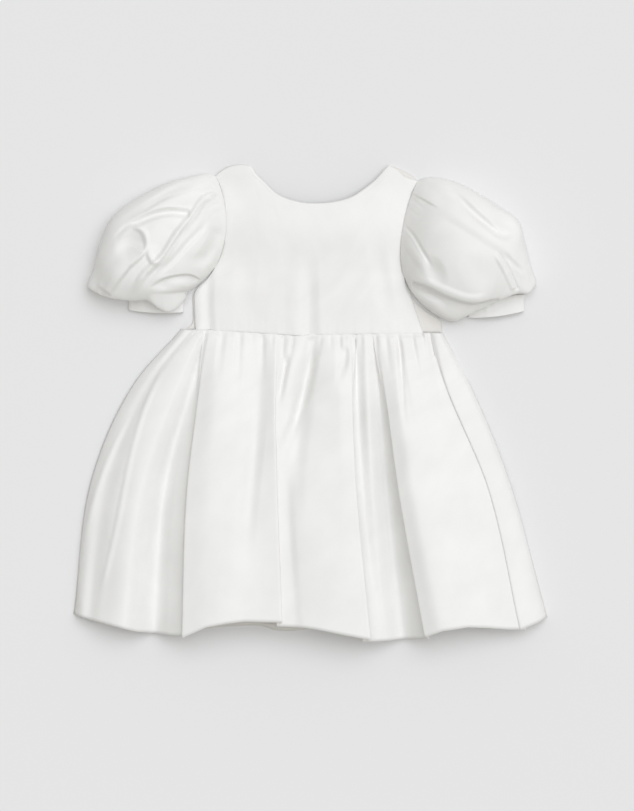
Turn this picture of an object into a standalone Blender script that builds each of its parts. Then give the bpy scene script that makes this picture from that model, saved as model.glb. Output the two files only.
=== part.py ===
"""Child's satin dress with puffed sleeves, laid flat with its front up.

The dress lies on the plane z = 0 with its back down. +X is to the right as seen from above, +Y is
towards the neck and +Z is up. All sizes in the tables are in millimetres.
"""

import math
from collections import namedtuple

import bpy
import numpy as np

# Driving sizes
MM = 0.001
WALL = 1.5  # thickness of the cloth
SEAM = 0.3  # gap between two pieces at their seam
CENTRE_BACK = 1.5  # x of the back opening
ZIP_WIDTH = 22.0
ZIP_THICK = 1.0
ZIP_TOP = 186.0
ZIP_END = -14.0
SLIDER = (5.0, 9.0, 2.5)  # width, length and height
CUFF_HEIGHT = 10.0  # the flattened cuff, from the surface to its top

# Grid of each piece
SKIRT_ROWS = 12
SKIRT_ROW_POWER = 1.3  # above 1, rows stand closer together near the waist
SKIRT_PITCH = 10.5  # widest column on the front skirt at its hem
PLEAT_PITCH = 2.6  # widest column round a pleat's edge
BODICE_ROWS = 12
BODICE_COLUMNS = 22
SKIRT_PANEL = (8, 14)  # rows and columns of each half of the back skirt
BODICE_PANEL = (10, 9)  # and of the back bodice
CREASE_STEPS = 9
RING_TOP = 24  # steps over the top of a sleeve
RING_FLOOR = 7  # steps below it
RINGS_BETWEEN = 2  # steps from one sleeve section to the next
ROOT = "satin_dress"

SATIN = ("satin", (0.86, 0.85, 0.83), 0.42)
SATIN_BACK = ("satin_back", (0.82, 0.80, 0.76), 0.55)
ZIP_TAPE = ("zip_tape", (0.85, 0.84, 0.81), 0.7)
ZIP_METAL = ("zip_slider", (0.80, 0.79, 0.77), 0.35)

# The waist seam, from left to right
WAIST = [(-131, 72.4), (-101, 72.2), (-56, 69.7), (-10, 66.8), (5, 67.6), (66, 68.7), (92, 69.6), (133, 69.0)]

# Lines down the front skirt from its left seam to its right one. Each has its place across and its
# height at the waist, high on the skirt, halfway down and at the hem, and where the hem crosses it.
STATIONS = (0.0, 0.18, 0.52, 1.0)
Line = namedtuple("Line", "name waist high mid hem hem_y")
# A pleat is a doubled edge of the panel on one side of it. It lies over what is beyond the edge: the
# panel on its right lies over the left for +1, and the other way for -1. The cloth behind the edge
# turns back below it after the overlap, and its hem is at low_y there.
Pleat = namedtuple("Pleat", "name side waist high mid hem hem_y low_y overlap layer")
SKIRT = [
    Line("left_seam", (-130.5, 2.8), (-175.5, 2.8), (-219.0, 2.8), (-236.5, 2.8), -212.3),
    Line("left_roll", (-126.0, 6.5), (-166.5, 9.5), (-211.0, 11.5), (-230.0, 12.0), -214.0),
    Line("left_dip", (-121.0, 6.5), (-160.0, 11.0), (-202.0, 14.5), (-221.0, 15.0), -217.0),
    Line("left_crease", (-117.0, 8.0), (-154.5, 14.5), (-191.5, 20.0), (-212.0, 21.0), -219.5),
    Line("left_crest", (-109.0, 9.5), (-134.0, 21.0), (-172.0, 32.0), (-193.0, 35.0), -224.5),
    Line("left_fall", (-106.5, 8.5), (-125.0, 17.0), (-151.0, 20.0), (-164.0, 22.0), -229.5),
    Line("first_trough", (-104.5, 7.0), (-118.5, 12.0), (-137.5, 10.0), (-142.0, 9.0), -232.0),
    Pleat("first_pleat", 1, (-101.0, 9.0), (-110.0, 20.0), (-123.0, 25.0), (-128.0, 25.0), -234.2, -232.5, 8.0, 5.0),
    Line("second_panel", (-88.0, 9.5), (-92.0, 24.0), (-100.0, 31.0), (-103.0, 33.0), -223.8),
    Line("second_middle", (-70.0, 9.0), (-72.0, 22.0), (-75.0, 29.5), (-80.0, 34.0), -220.0),
    Line("second_dip", (-52.0, 7.5), (-51.0, 16.0), (-51.5, 24.0), (-57.0, 31.0), -218.0),
    Pleat("second_pleat", -1, (-35.0, 9.5), (-35.5, 23.0), (-33.5, 32.0), (-28.5, 34.0), -219.0, -223.0, 8.0, 5.0),
    Line("slit_ridge", (-8.5, 10.0), (-20.0, 19.0), (-23.5, 17.5), (-15.0, 22.5), -223.5),
    Line("slit_valley", (4.5, 6.5), (-7.0, 8.0), (-16.5, 17.0), (-7.0, 24.5), -224.0),
    Line("third_start", (12.0, 9.5), (6.0, 17.0), (-3.0, 26.0), (4.0, 29.0), -225.5),
    Line("third_panel", (27.5, 10.0), (27.5, 22.5), (30.0, 33.0), (31.0, 35.5), -231.0),
    Pleat("third_pleat", -1, (39.0, 9.5), (43.0, 21.0), (50.5, 33.0), (45.5, 36.0), -236.3, -238.0, 8.0, 5.0),
    Line("dark_strip", (46.5, 6.5), (50.0, 10.0), (58.5, 12.5), (64.0, 13.0), -238.4),
    Line("small_ridge", (54.0, 9.0), (58.0, 16.0), (67.0, 21.0), (80.0, 20.0), -238.0),
    Line("deep_strip", (61.0, 6.5), (67.0, 9.0), (79.5, 8.0), (98.0, 8.0), -236.3),
    Pleat("fourth_pleat", 1, (68.0, 9.0), (74.0, 20.0), (86.5, 28.0), (113.5, 30.0), -234.0, -235.5, 9.0, 5.0),
    Line("fourth_panel", (82.0, 9.5), (90.0, 23.0), (105.0, 34.0), (133.0, 36.0), -227.5),
    Line("fourth_middle", (97.5, 8.5), (107.5, 19.5), (127.0, 29.0), (157.0, 32.5), -223.8),
    Line("fourth_fall", (111.0, 8.0), (121.5, 14.5), (150.0, 21.0), (180.0, 23.0), -224.8),
    Line("last_trough", (119.5, 6.0), (131.0, 8.0), (169.0, 8.5), (200.0, 8.5), -226.5),
    Pleat("last_pleat", 1, (124.5, 7.0), (137.0, 12.5), (177.5, 15.0), (209.5, 15.5), -227.3, -227.0, 6.0, 4.6),
    Line("right_strip", (128.5, 7.0), (149.0, 11.0), (189.0, 13.5), (225.0, 13.5), -221.5),
    Line("right_roll", (130.5, 5.5), (155.5, 8.5), (195.5, 9.5), (232.5, 9.5), -217.5),
    Line("right_seam", (132.5, 2.8), (160.0, 2.8), (199.5, 2.8), (236.5, 2.8), -215.3),
]

# A pleat is a plain step at the waist, with these places beside its line, and is folded further down
PLEAT_STEP = [(-5.0, -2.6), (-4.0, -2.3), (-3.0, -1.7), (-2.0, -1.0), (-1.0, -0.4), (0.0, 0.0)]
PLEAT_FOLDS = (0.04, 0.34)

# Short gathers below the waist seam: place along the seam, half width, depth and length down the skirt
Gather = namedtuple("Gather", "x half_width depth length")
GATHERS = [
    Gather(-89, 5, 2.2, 0.16), Gather(-71, 5, 2.6, 0.24), Gather(-44, 5, 1.8, 0.16), Gather(-26, 5, 2.6, 0.20),
    Gather(-17, 4, 2.2, 0.14), Gather(-3, 4, 2.4, 0.12), Gather(19, 5, 2.2, 0.14), Gather(33, 5, 2.0, 0.18),
    Gather(75, 4, 2.0, 0.14), Gather(88, 5, 2.4, 0.30), Gather(104, 5, 2.0, 0.24), Gather(116, 4, 1.6, 0.20),
]

# Outline of the back skirt, 1 mm outside the front's seams
BACK_LEFT_EDGE = [(-131.5, 72.1), (-176.5, 18.0), (-220.0, -84.0), (-238.0, -212.0)]
BACK_RIGHT_EDGE = [(133.5, 68.7), (161.0, 15.0), (200.5, -84.0), (238.0, -215.0)]
BACK_HEM_LEFT = [(-238, -212), (-175, -226), (-129, -231), (-105, -226.5), (-80, -224.5), (-48, -224.5),
                 (-36, -228), (-10, -228.3), (1.35, -226)]
BACK_HEM_RIGHT = [(1.65, -226), (29.5, -230), (46.5, -235), (62, -239), (79, -238), (107, -235), (131.5, -226.5),
                  (163.5, -223), (207, -226), (238, -215)]

# Armholes: shoulder end, middle and underarm end of the bodice's edge
LEFT_ARMHOLE = [(-95.5, 227.7), (-84.5, 180.7), (-95.5, 135.7)]
RIGHT_ARMHOLE = [(107.5, 222.4), (91.8, 170.7), (94.0, 125.4)]
ARMHOLE_SHARE = 0.6  # part of the bodice's side that is armhole

# Outlines of the bodice
FRONT_SIDE_LEFT = [(-115.5, 72.6), (-116.5, 97.7), (-116.0, 110.5), (-102.7, 125.2), (-95.5, 135.7)]
FRONT_SIDE_RIGHT = [(113.5, 69.3), (105.5, 91.7), (102.5, 101.7), (96.5, 113.7), (94.0, 125.4)]
FRONT_SHOULDER_LEFT = [(-95.5, 227.7), (-86.5, 234.2), (-79.5, 237.2), (-70.5, 238.4), (-59.5, 237.5)]
FRONT_NECK = [(-59.5, 237.5), (-56.5, 231.7), (-46, 220.7), (-34.5, 209.7), (-15.5, 201.7), (11.5, 199.7),
              (27.5, 201.7), (42.5, 206.7), (54.5, 214.7), (65.5, 223.7), (74.5, 233.7), (78.5, 238.0)]
FRONT_SHOULDER_RIGHT = [(78.5, 238.0), (86.0, 233.7), (94.5, 226.7), (107.5, 222.4)]
BACK_SIDE_LEFT = [(-126.5, 72.5), (-119.0, 79.0), (-117.8, 92.0), (-117.4, 109.5), (-103.4, 124.7), (-95.5, 135.7)]
BACK_SIDE_RIGHT = [(131.5, 69.2), (131.0, 81.5), (118.0, 90.0), (104.5, 101.5), (99.0, 112.7), (94.0, 125.4)]
BACK_SHOULDER_LEFT = [(-95.5, 227.7), (-86.5, 234.9), (-79.5, 238.0), (-70.5, 239.0), (-60.0, 238.0)]
BACK_SHOULDER_RIGHT = [(78.5, 238.4), (89.5, 234.5), (95.5, 231.7), (102.5, 227.2), (107.5, 222.4)]
BACK_NECK_LEFT = [(-60.0, 238.0), (-52.0, 222.0), (-36.0, 203.0), (-18.0, 193.0), (1.35, 190.0)]
BACK_NECK_RIGHT = [(1.65, 190.0), (24.0, 192.5), (45.0, 203.0), (62.0, 219.0), (74.0, 232.0), (78.5, 238.4)]
SHOULDER_SHARE = 0.16  # part of the front's width on each shoulder
BACK_SHOULDER_SHARE = 0.33

# Height of the front bodice's underside at its edges and over its middle
EDGE_LIFT = 2.0
ARMHOLE_LIFT = 5.0
WAIST_CROWN = 5.6
CHEST_CROWN = 8.5
NECK_CROWN = 5.0
CROWN_POWER = 3.2  # a higher power keeps the crown fuller towards the sides

# Soft creases: a line from start over middle to end, its half width and how far it lifts the cloth
Crease = namedtuple("Crease", "start middle end half_width lift")
BODICE_CREASES = [
    Crease((-2, 160), (-1, 115), (-1, 62), 11, -3.2),
    Crease((61, 178), (70, 130), (77, 80), 10, -1.8),
    Crease((-101, 140), (-103, 110), (-102, 74), 8, -2.0),
]
LEFT_SLEEVE_CREASES = [
    Crease((-92, 207), (-130, 160), (-176, 108), 13, 7.0),
    Crease((-96, 190), (-131, 143), (-158, 114), 9, -5.5),
    Crease((-97, 213), (-143, 188), (-190, 160), 12, -8.5),
    Crease((-158, 170), (-167, 159), (-176, 156), 15, -8.0),
    Crease((-146, 121), (-128, 125), (-108, 122), 10, -7.0),
]
RIGHT_SLEEVE_CREASES = [
    Crease((104, 207), (155, 181), (206, 116), 10, -6.0),
    Crease((95, 178), (110, 148), (127, 126), 11, -8.0),
    Crease((104, 119), (130, 107), (152, 97), 11, -9.0),
    Crease((186, 190), (198, 178), (204, 166), 13, -8.0),
]

# Sections along each sleeve, from the armhole to the seam of the cuff. Each is a flattened ring with
# its outer end, the middle of its top, its inner end and the middle of its underside seen from above.
# The height is that of its top, and a small power gives it steep, full sides.
Section = namedtuple("Section", "outer middle inner floor height power")
LEFT_SLEEVE = [
    Section((-95.8, 227.7), (-84.8, 180.7), (-95.8, 135.7), (-84.8, 180.7), 9.5, 0.9),
    Section((-105.5, 229.7), (-97.5, 180.0), (-100.0, 130.7), (-97.5, 180.0), 22.0, 0.75),
    Section((-120.5, 226.7), (-112.5, 176.0), (-104.5, 125.7), (-112.5, 176.0), 34.0, 0.62),
    Section((-140.5, 221.2), (-130.5, 171.0), (-109.0, 121.7), (-130.5, 171.0), 42.0, 0.6),
    Section((-162.5, 211.2), (-147.5, 162.0), (-113.0, 118.2), (-147.5, 162.0), 46.0, 0.6),
    Section((-184.5, 198.2), (-163.5, 149.0), (-116.5, 115.4), (-163.5, 149.0), 46.0, 0.6),
    Section((-200.5, 182.7), (-173.5, 136.0), (-119.5, 113.4), (-172.5, 136.5), 44.0, 0.6),
    Section((-211.0, 158.7), (-180.5, 121.0), (-122.0, 111.9), (-175.0, 125.0), 40.0, 0.6),
    Section((-217.5, 132.7), (-182.5, 109.7), (-124.0, 110.8), (-172.0, 118.0), 34.0, 0.6),
    Section((-223.5, 116.2), (-183.5, 102.2), (-124.9, 110.2), (-167.0, 114.6), 26.0, 0.5),
    Section((-208.0, 112.6), (-174.0, 104.2), (-125.8, 109.6), (-161.0, 111.8), 17.5, 0.42),
    Section((-182.5, 109.2), (-155.0, 107.4), (-127.5, 108.0), (-155.0, 107.4), 10.6, 0.5),
]
RIGHT_SLEEVE = [
    Section((107.8, 222.4), (92.1, 170.7), (94.3, 125.4), (92.1, 170.7), 9.5, 0.9),
    Section((117.5, 225.7), (103.5, 168.0), (97.0, 118.7), (103.5, 168.0), 22.0, 0.75),
    Section((132.5, 224.7), (117.5, 165.0), (101.0, 111.7), (117.5, 165.0), 34.0, 0.62),
    Section((152.5, 218.2), (134.5, 160.0), (106.5, 104.2), (134.5, 160.0), 42.0, 0.6),
    Section((173.5, 206.2), (152.5, 151.0), (114.0, 96.7), (152.5, 151.0), 46.0, 0.6),
    Section((192.5, 194.2), (167.5, 141.0), (122.5, 90.2), (167.5, 141.0), 46.0, 0.6),
    Section((208.5, 181.7), (177.5, 130.0), (131.0, 85.2), (177.0, 130.5), 44.0, 0.6),
    Section((215.0, 159.7), (183.5, 119.0), (138.5, 82.2), (181.0, 122.0), 40.0, 0.6),
    Section((220.5, 138.7), (185.5, 109.0), (144.5, 81.2), (180.5, 116.0), 34.0, 0.6),
    Section((226.0, 119.7), (186.5, 101.2), (149.5, 83.2), (182.0, 112.0), 26.0, 0.5),
    Section((221.0, 113.8), (186.5, 102.4), (154.0, 86.4), (184.5, 108.0), 17.5, 0.42),
    Section((214.5, 108.9), (186.5, 103.6), (158.0, 88.6), (186.5, 103.6), 10.6, 0.5),
]
LEFT_CUFF_HEM = Section((-182.5, 92.7), (-153.5, 89.7), (-127.5, 90.7), (-153.5, 89.7), CUFF_HEIGHT, 0.5)
RIGHT_CUFF_HEM = Section((214.3, 91.7), (186.0, 86.2), (158.7, 85.2), (186.0, 86.2), CUFF_HEIGHT, 0.5)
RING_CORNER = 3.0  # height of a ring's ends
CUFF_STEPS = 2
CREASED_HEIGHT = 30.0  # where a sleeve is this high, its creases have their whole depth
HEAD_GATHERS = 6  # small gathers at the top of the sleeve and round its lower edge
HEAD_GATHER_DEPTH = 2.0
HEAD_GATHER_END = 3.5  # in sections from the armhole
RIM_GATHERS = 5
RIM_GATHER_DEPTH = 2.4


def mix(a, b, share):
    return np.asarray(a, float) * (1 - share) + np.asarray(b, float) * share


def ease(value, start, end):
    """0 before start, 1 after end, and a smooth step between."""
    share = min(max((value - start) / (end - start), 0.0), 1.0)
    return share * share * (3 - 2 * share)


def spans(points):
    return np.linalg.norm(np.diff(points, axis=0), axis=1)


def slopes(points, lengths):
    """The direction of a smooth curve at each of its points, per unit of length."""
    chords = np.diff(points, axis=0) / lengths[:, None]
    found = np.empty_like(points)
    found[0] = chords[0]
    found[-1] = chords[-1]
    before = lengths[:-1, None]
    after = lengths[1:, None]
    found[1:-1] = (chords[:-1] * after + chords[1:] * before) / (before + after)
    return found


def hermite(start, end, start_slope, end_slope, length, share):
    square = share * share
    cube = square * share
    return (
        start * (2 * cube - 3 * square + 1)
        + start_slope * length * (cube - 2 * square + share)
        + end * (3 * square - 2 * cube)
        + end_slope * length * (cube - square)
    )


def along(points, share):
    """The point at a share of the way along the smooth curve through the points."""
    points = np.asarray(points, float)
    lengths = spans(points)
    tangents = slopes(points, lengths)
    travelled = share * lengths.sum()
    index = 0
    while index < len(lengths) - 1 and travelled > lengths[index]:
        travelled -= lengths[index]
        index += 1
    local = min(travelled / lengths[index], 1.0)
    return hermite(points[index], points[index + 1], tangents[index], tangents[index + 1], lengths[index], local)


def arc(three, share):
    """The parabola through three points, halfway at the second."""
    first, second, third = (np.asarray(point, float) for point in three)
    return (
        first * (2 * share - 1) * (share - 1)
        + second * 4 * share * (1 - share)
        + third * share * (2 * share - 1)
    )


def station(values, t):
    """The value at t down the skirt, eased through those at the four stations."""
    index = 0
    while index < len(STATIONS) - 2 and t > STATIONS[index + 1]:
        index += 1
    width = np.diff(STATIONS)
    rise = np.diff(np.asarray(values, float), axis=0) / width[:, None]
    slope = [rise[0], (rise[0] + rise[1]) / 2, (rise[1] + rise[2]) / 2, rise[2]]
    local = (t - STATIONS[index]) / width[index]
    start = np.asarray(values[index], float)
    end = np.asarray(values[index + 1], float)
    return hermite(start, end, slope[index], slope[index + 1], width[index], local)


def waist_y(x):
    places = np.asarray(WAIST, float)
    return float(np.interp(x, places[:, 0], places[:, 1]))


def crease_lift(x, y, creases):
    """How far the soft creases lift the cloth at one place."""
    total = 0.0
    place = np.array((x, y))
    for crease in creases:
        line = (crease.start, crease.middle, crease.end)
        path = np.array([arc(line, share) for share in np.linspace(0, 1, CREASE_STEPS)])
        gaps = np.linalg.norm(path - place, axis=1)
        nearest = int(gaps.argmin())
        end_fade = math.sin(math.pi * (nearest + 1) / (CREASE_STEPS + 1))
        across = max(0.0, 1 - (gaps[nearest] / crease.half_width) ** 2)
        total += crease.lift * across * across * end_fade
    return total


# Solids


def material(finish):
    name, color, roughness = finish
    made = bpy.data.materials.get(name) or bpy.data.materials.new(name)
    made.use_nodes = True
    shader = made.node_tree.nodes["Principled BSDF"]
    shader.inputs["Base Color"].default_value = (*color, 1.0)
    shader.inputs["Roughness"].default_value = roughness
    shader.inputs["Metallic"].default_value = 0.0
    return made


def add_object(name, points, faces, finish, collection):
    mesh = bpy.data.meshes.new(name)
    mesh.from_pydata([tuple(point * MM) for point in points], [], faces)
    mesh.materials.append(material(finish))
    mesh.shade_smooth()
    mesh.set_sharp_from_angle(angle=math.radians(50))
    made = bpy.data.objects.new(name, mesh)
    collection.objects.link(made)
    return made


def grid_faces(rows, columns, first, closed, turned):
    """Quads of a grid whose points start at index first. A closed one joins its last column to its first."""
    faces = []
    for row in range(rows - 1):
        for column in range(columns if closed else columns - 1):
            right = (column + 1) % columns
            quad = [
                first + row * columns + column,
                first + row * columns + right,
                first + (row + 1) * columns + right,
                first + (row + 1) * columns + column,
            ]
            faces.append(quad[::-1] if turned else quad)
    return faces


def cloth_wall(name, lower, upper, finish, collection):
    """A closed wall between two skins, each an array of rows, columns and 3. Rows run down, columns right."""
    rows, columns = lower.shape[:2]
    count = rows * columns
    faces = grid_faces(rows, columns, 0, False, False)
    faces += grid_faces(rows, columns, count, False, True)
    edge = [(0, column) for column in range(columns)]
    edge += [(row, columns - 1) for row in range(1, rows)]
    edge += [(rows - 1, column) for column in range(columns - 2, -1, -1)]
    edge += [(row, 0) for row in range(rows - 2, 0, -1)]
    rim = [row * columns + column for row, column in edge]
    for here, there in zip(rim, rim[1:] + rim[:1]):
        faces.append((there, here, here + count, there + count))
    points = np.concatenate([lower.reshape(-1, 3), upper.reshape(-1, 3)])
    return add_object(name, points, faces, finish, collection)


def solidified(name, skin, closed, finish, collection, turned=False):
    """An open surface given the cloth's thickness on its inner side."""
    rows, columns = skin.shape[:2]
    faces = grid_faces(rows, columns, 0, closed, turned)
    made = add_object(name, skin.reshape(-1, 3), faces, finish, collection)
    thick = made.modifiers.new("cloth", "SOLIDIFY")
    thick.thickness = WALL * MM
    thick.offset = -1.0
    return made


# Skirt


def pleat_points(pleat, t):
    """The six points round a doubled edge, from left to right along the cloth. At the waist it is a plain step."""
    x, z = station((pleat.waist, pleat.high, pleat.mid, pleat.hem), t)
    half = pleat.layer / 2
    folded = [
        (pleat.overlap - half, -4 * half),
        (pleat.overlap, -3 * half),
        (pleat.overlap - half, -2 * half),
        (half, -2 * half),
        (0.0, -half),
        (half, 0.0),
    ]
    share = ease(t, *PLEAT_FOLDS)
    placed = [mix(before, after, share) for before, after in zip(PLEAT_STEP, folded)]
    points = [np.array((x + pleat.side * across, z + up)) for across, up in placed]
    return points if pleat.side > 0 else points[::-1]


def pleat_hems(pleat):
    hems = [pleat.low_y] * 3 + [pleat.hem_y] * 3
    return hems if pleat.side > 0 else hems[::-1]


def skirt_controls(t):
    """The points that the cloth passes through across the front skirt, with the hem's place on each."""
    places = []
    hems = []
    for row in SKIRT:
        if isinstance(row, Pleat):
            places += pleat_points(row, t)
            hems += pleat_hems(row)
        else:
            places.append(station((row.waist, row.high, row.mid, row.hem), t))
            hems.append(row.hem_y)
    return np.array(places), np.array(hems)


def skirt_columns():
    """How many columns each stretch between two points takes."""
    places, _ = skirt_controls(1.0)
    in_pleat = []
    for row in SKIRT:
        in_pleat += [True] * 5 + [False] if isinstance(row, Pleat) else [False]
    counts = []
    for length, tight in zip(spans(places), in_pleat):
        counts.append(max(1, math.ceil(length / (PLEAT_PITCH if tight else SKIRT_PITCH))))
    return counts


def skirt_front(collection):
    counts = skirt_columns()
    middle = []
    for row in range(SKIRT_ROWS + 1):
        t = (row / SKIRT_ROWS) ** SKIRT_ROW_POWER
        places, hems = skirt_controls(t)
        lengths = spans(places)
        tangents = slopes(places, lengths)
        line = []
        for index, count in enumerate(counts):
            for step in range(count):
                share = step / count
                place = hermite(
                    places[index], places[index + 1], tangents[index], tangents[index + 1], lengths[index], share
                )
                line.append((place[0], place[1], hems[index] * (1 - share) + hems[index + 1] * share))
        line.append((*places[-1], hems[-1]))
        line = np.array(line)
        if row == 0:
            seam = line.copy()
        across = np.gradient(line[:, :2], axis=0)
        normal = np.stack([-across[:, 1], across[:, 0]], axis=1)
        normal /= np.linalg.norm(normal, axis=1)[:, None]
        points = np.empty((len(line), 5))
        for column, (x, z, hem_y) in enumerate(line):
            top = waist_y(seam[column, 0]) - SEAM / 2
            y = top * (1 - t) + hem_y * t
            points[column] = (x, y, z - gather_depth(seam[column, 0], t), *normal[column])
        middle.append(points)
    middle = np.array(middle)
    normal = np.zeros(middle.shape[:2] + (3,))
    normal[..., 0] = middle[..., 3]
    normal[..., 2] = middle[..., 4]
    lower = middle[..., :3] - normal * WALL / 2
    upper = middle[..., :3] + normal * WALL / 2
    lower[..., 2] = np.maximum(lower[..., 2], WALL + SEAM)
    return cloth_wall("skirt_front", lower, upper, SATIN, collection)


def gather_depth(x, t):
    total = 0.0
    for gather in GATHERS:
        across = max(0.0, 1 - ((x - gather.x) / gather.half_width) ** 2)
        total += gather.depth * across * across * max(0.0, 1 - t / gather.length)
    return total


def flat_panel(name, bottom, top, left, right, rows, columns, finish, collection):
    """A flat panel on the surface. Each side is a function from 0 to 1, upwards or to the right."""
    skin = np.zeros((rows + 1, columns + 1, 3))
    for row in range(rows + 1):
        v = 1 - row / rows
        for column in range(columns + 1):
            skin[row, column, :2] = patch(bottom, top, left, right, column / columns, v)
    skin[..., 2] = 0.0
    return solidified(name, skin, False, finish, collection)


def patch(bottom, top, left, right, u, v):
    """The point at u, v of the patch between four sides that meet at its corners."""
    across = mix(bottom(u), top(u), v)
    upwards = mix(left(v), right(v), u)
    corners = mix(mix(bottom(0), bottom(1), u), mix(top(0), top(1), u), v)
    return across + upwards - corners


def skirt_back(collection):
    seam_left = CENTRE_BACK - SEAM / 2
    seam_right = CENTRE_BACK + SEAM / 2

    def left_waist(u):
        x = mix(BACK_LEFT_EDGE[0][0], seam_left, u)
        return np.array((x, waist_y(x) - SEAM / 2))

    def right_waist(u):
        x = mix(seam_right, BACK_RIGHT_EDGE[0][0], u)
        return np.array((x, waist_y(x) - SEAM / 2))

    def straight(x, low, high):
        return lambda v: np.array((x, mix(low, high, v)))

    left_corner = np.array((BACK_LEFT_EDGE[0][0], waist_y(BACK_LEFT_EDGE[0][0]) - SEAM / 2))
    right_corner = np.array((BACK_RIGHT_EDGE[0][0], waist_y(BACK_RIGHT_EDGE[0][0]) - SEAM / 2))
    flat_panel(
        "skirt_back_left",
        lambda u: along(BACK_HEM_LEFT, u),
        left_waist,
        lambda v: along([left_corner] + BACK_LEFT_EDGE[1:], 1 - v),
        straight(seam_left, BACK_HEM_LEFT[-1][1], waist_y(seam_left) - SEAM / 2),
        *SKIRT_PANEL, SATIN_BACK, collection,
    )
    flat_panel(
        "skirt_back_right",
        lambda u: along(BACK_HEM_RIGHT, u),
        right_waist,
        straight(seam_right, BACK_HEM_RIGHT[0][1], waist_y(seam_right) - SEAM / 2),
        lambda v: along([right_corner] + BACK_RIGHT_EDGE[1:], 1 - v),
        *SKIRT_PANEL, SATIN_BACK, collection,
    )


# Bodice


def joined(parts, shares):
    """One side made of several curves, each over its own share of it."""
    limits = np.cumsum([0.0] + list(shares))

    def side(value):
        index = 0
        while index < len(parts) - 1 and value > limits[index + 1] + 1e-9:
            index += 1
        local = (value - limits[index]) / (limits[index + 1] - limits[index])
        return parts[index](min(max(local, 0.0), 1.0))

    return side


def bodice_side(side_points, armhole):
    below = [lambda v: along(side_points, v), lambda v: arc(armhole, 1 - v)]
    return joined(below, (1 - ARMHOLE_SHARE, ARMHOLE_SHARE))


def bodice_lift(u, v):
    """Height of the front bodice's underside above the surface."""
    fullness = 1 - abs(2 * u - 1) ** CROWN_POWER
    armhole_from = 1 - ARMHOLE_SHARE
    arch = math.sin(math.pi * max(0.0, v - armhole_from) / ARMHOLE_SHARE)
    crown = along([(0.0, WAIST_CROWN), (0.5, CHEST_CROWN), (1.0, NECK_CROWN)], v)[1]
    return EDGE_LIFT + ARMHOLE_LIFT * arch + crown * fullness


def bodice_front(collection):
    left = bodice_side(FRONT_SIDE_LEFT, LEFT_ARMHOLE)
    right = bodice_side(FRONT_SIDE_RIGHT, RIGHT_ARMHOLE)
    parts = [
        lambda u: along(FRONT_SHOULDER_LEFT, u),
        lambda u: along(FRONT_NECK, u),
        lambda u: along(FRONT_SHOULDER_RIGHT, u),
    ]
    top = joined(parts, (SHOULDER_SHARE, 1 - 2 * SHOULDER_SHARE, SHOULDER_SHARE))

    def bottom(u):
        x = mix(FRONT_SIDE_LEFT[0][0], FRONT_SIDE_RIGHT[0][0], u)
        return np.array((x, waist_y(x) + SEAM / 2))

    columns = BODICE_COLUMNS
    lower = np.zeros((BODICE_ROWS + 1, columns + 1, 3))
    for row in range(BODICE_ROWS + 1):
        v = 1 - row / BODICE_ROWS
        for column in range(columns + 1):
            u = column / columns
            x, y = patch(bottom, top, left, right, u, v)
            lift = bodice_lift(u, v) + crease_lift(x, y, BODICE_CREASES)
            lower[row, column] = (x, y, max(lift, WALL + SEAM))
    upper = lower + np.array((0.0, 0.0, WALL))
    return cloth_wall("bodice_front", lower, upper, SATIN, collection)


def bodice_back(collection):
    seam_left = CENTRE_BACK - SEAM / 2
    seam_right = CENTRE_BACK + SEAM / 2
    left_corner = (BACK_SIDE_LEFT[0][0], waist_y(BACK_SIDE_LEFT[0][0]) + SEAM / 2)
    right_corner = (BACK_SIDE_RIGHT[0][0], waist_y(BACK_SIDE_RIGHT[0][0]) + SEAM / 2)
    side_left = bodice_side([left_corner] + BACK_SIDE_LEFT[1:], LEFT_ARMHOLE)
    side_right = bodice_side([right_corner] + BACK_SIDE_RIGHT[1:], RIGHT_ARMHOLE)
    share = BACK_SHOULDER_SHARE
    top_left = joined([lambda u: along(BACK_SHOULDER_LEFT, u), lambda u: along(BACK_NECK_LEFT, u)], (share, 1 - share))
    top_right = joined(
        [lambda u: along(BACK_NECK_RIGHT, u), lambda u: along(BACK_SHOULDER_RIGHT, u)], (1 - share, share)
    )

    def bottom(start, end):
        def at(u):
            x = mix(start, end, u)
            return np.array((x, waist_y(x) + SEAM / 2))

        return at

    def centre(x, top):
        return lambda v: np.array((x, mix(waist_y(x) + SEAM / 2, top, v)))

    flat_panel(
        "bodice_back_left", bottom(left_corner[0], seam_left), top_left, side_left,
        centre(seam_left, BACK_NECK_LEFT[-1][1]), *BODICE_PANEL, SATIN_BACK, collection,
    )
    flat_panel(
        "bodice_back_right", bottom(seam_right, right_corner[0]), top_right,
        centre(seam_right, BACK_NECK_RIGHT[0][1]), side_right, *BODICE_PANEL, SATIN_BACK, collection,
    )


# Sleeves


def blended(sections, place):
    """The section at a place along the sleeve, eased between those of the table."""
    index = min(int(place), len(sections) - 2)
    share = place - index
    before = sections[max(index - 1, 0)]
    start = sections[index]
    end = sections[index + 1]
    after = sections[min(index + 2, len(sections) - 1)]
    values = []
    for column in range(len(start)):
        first, second = np.asarray(start[column], float), np.asarray(end[column], float)
        start_slope = (second - np.asarray(before[column], float)) / 2
        end_slope = (np.asarray(after[column], float) - first) / 2
        values.append(hermite(first, second, start_slope, end_slope, 1.0, share))
    return Section(*values)


def gathered(share, place, last):
    """How far the small gathers at the two ends of a sleeve pull its top down."""
    head = max(0.0, 1 - place / HEAD_GATHER_END) * min(1.0, place)
    rim = max(0.0, 1 - abs(place - last + 2.5) / 2)
    depth = HEAD_GATHER_DEPTH * head * (0.5 - 0.5 * math.cos(2 * math.pi * HEAD_GATHERS * share))
    return depth + RIM_GATHER_DEPTH * rim * (0.5 - 0.5 * math.cos(2 * math.pi * RIM_GATHERS * share))


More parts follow.
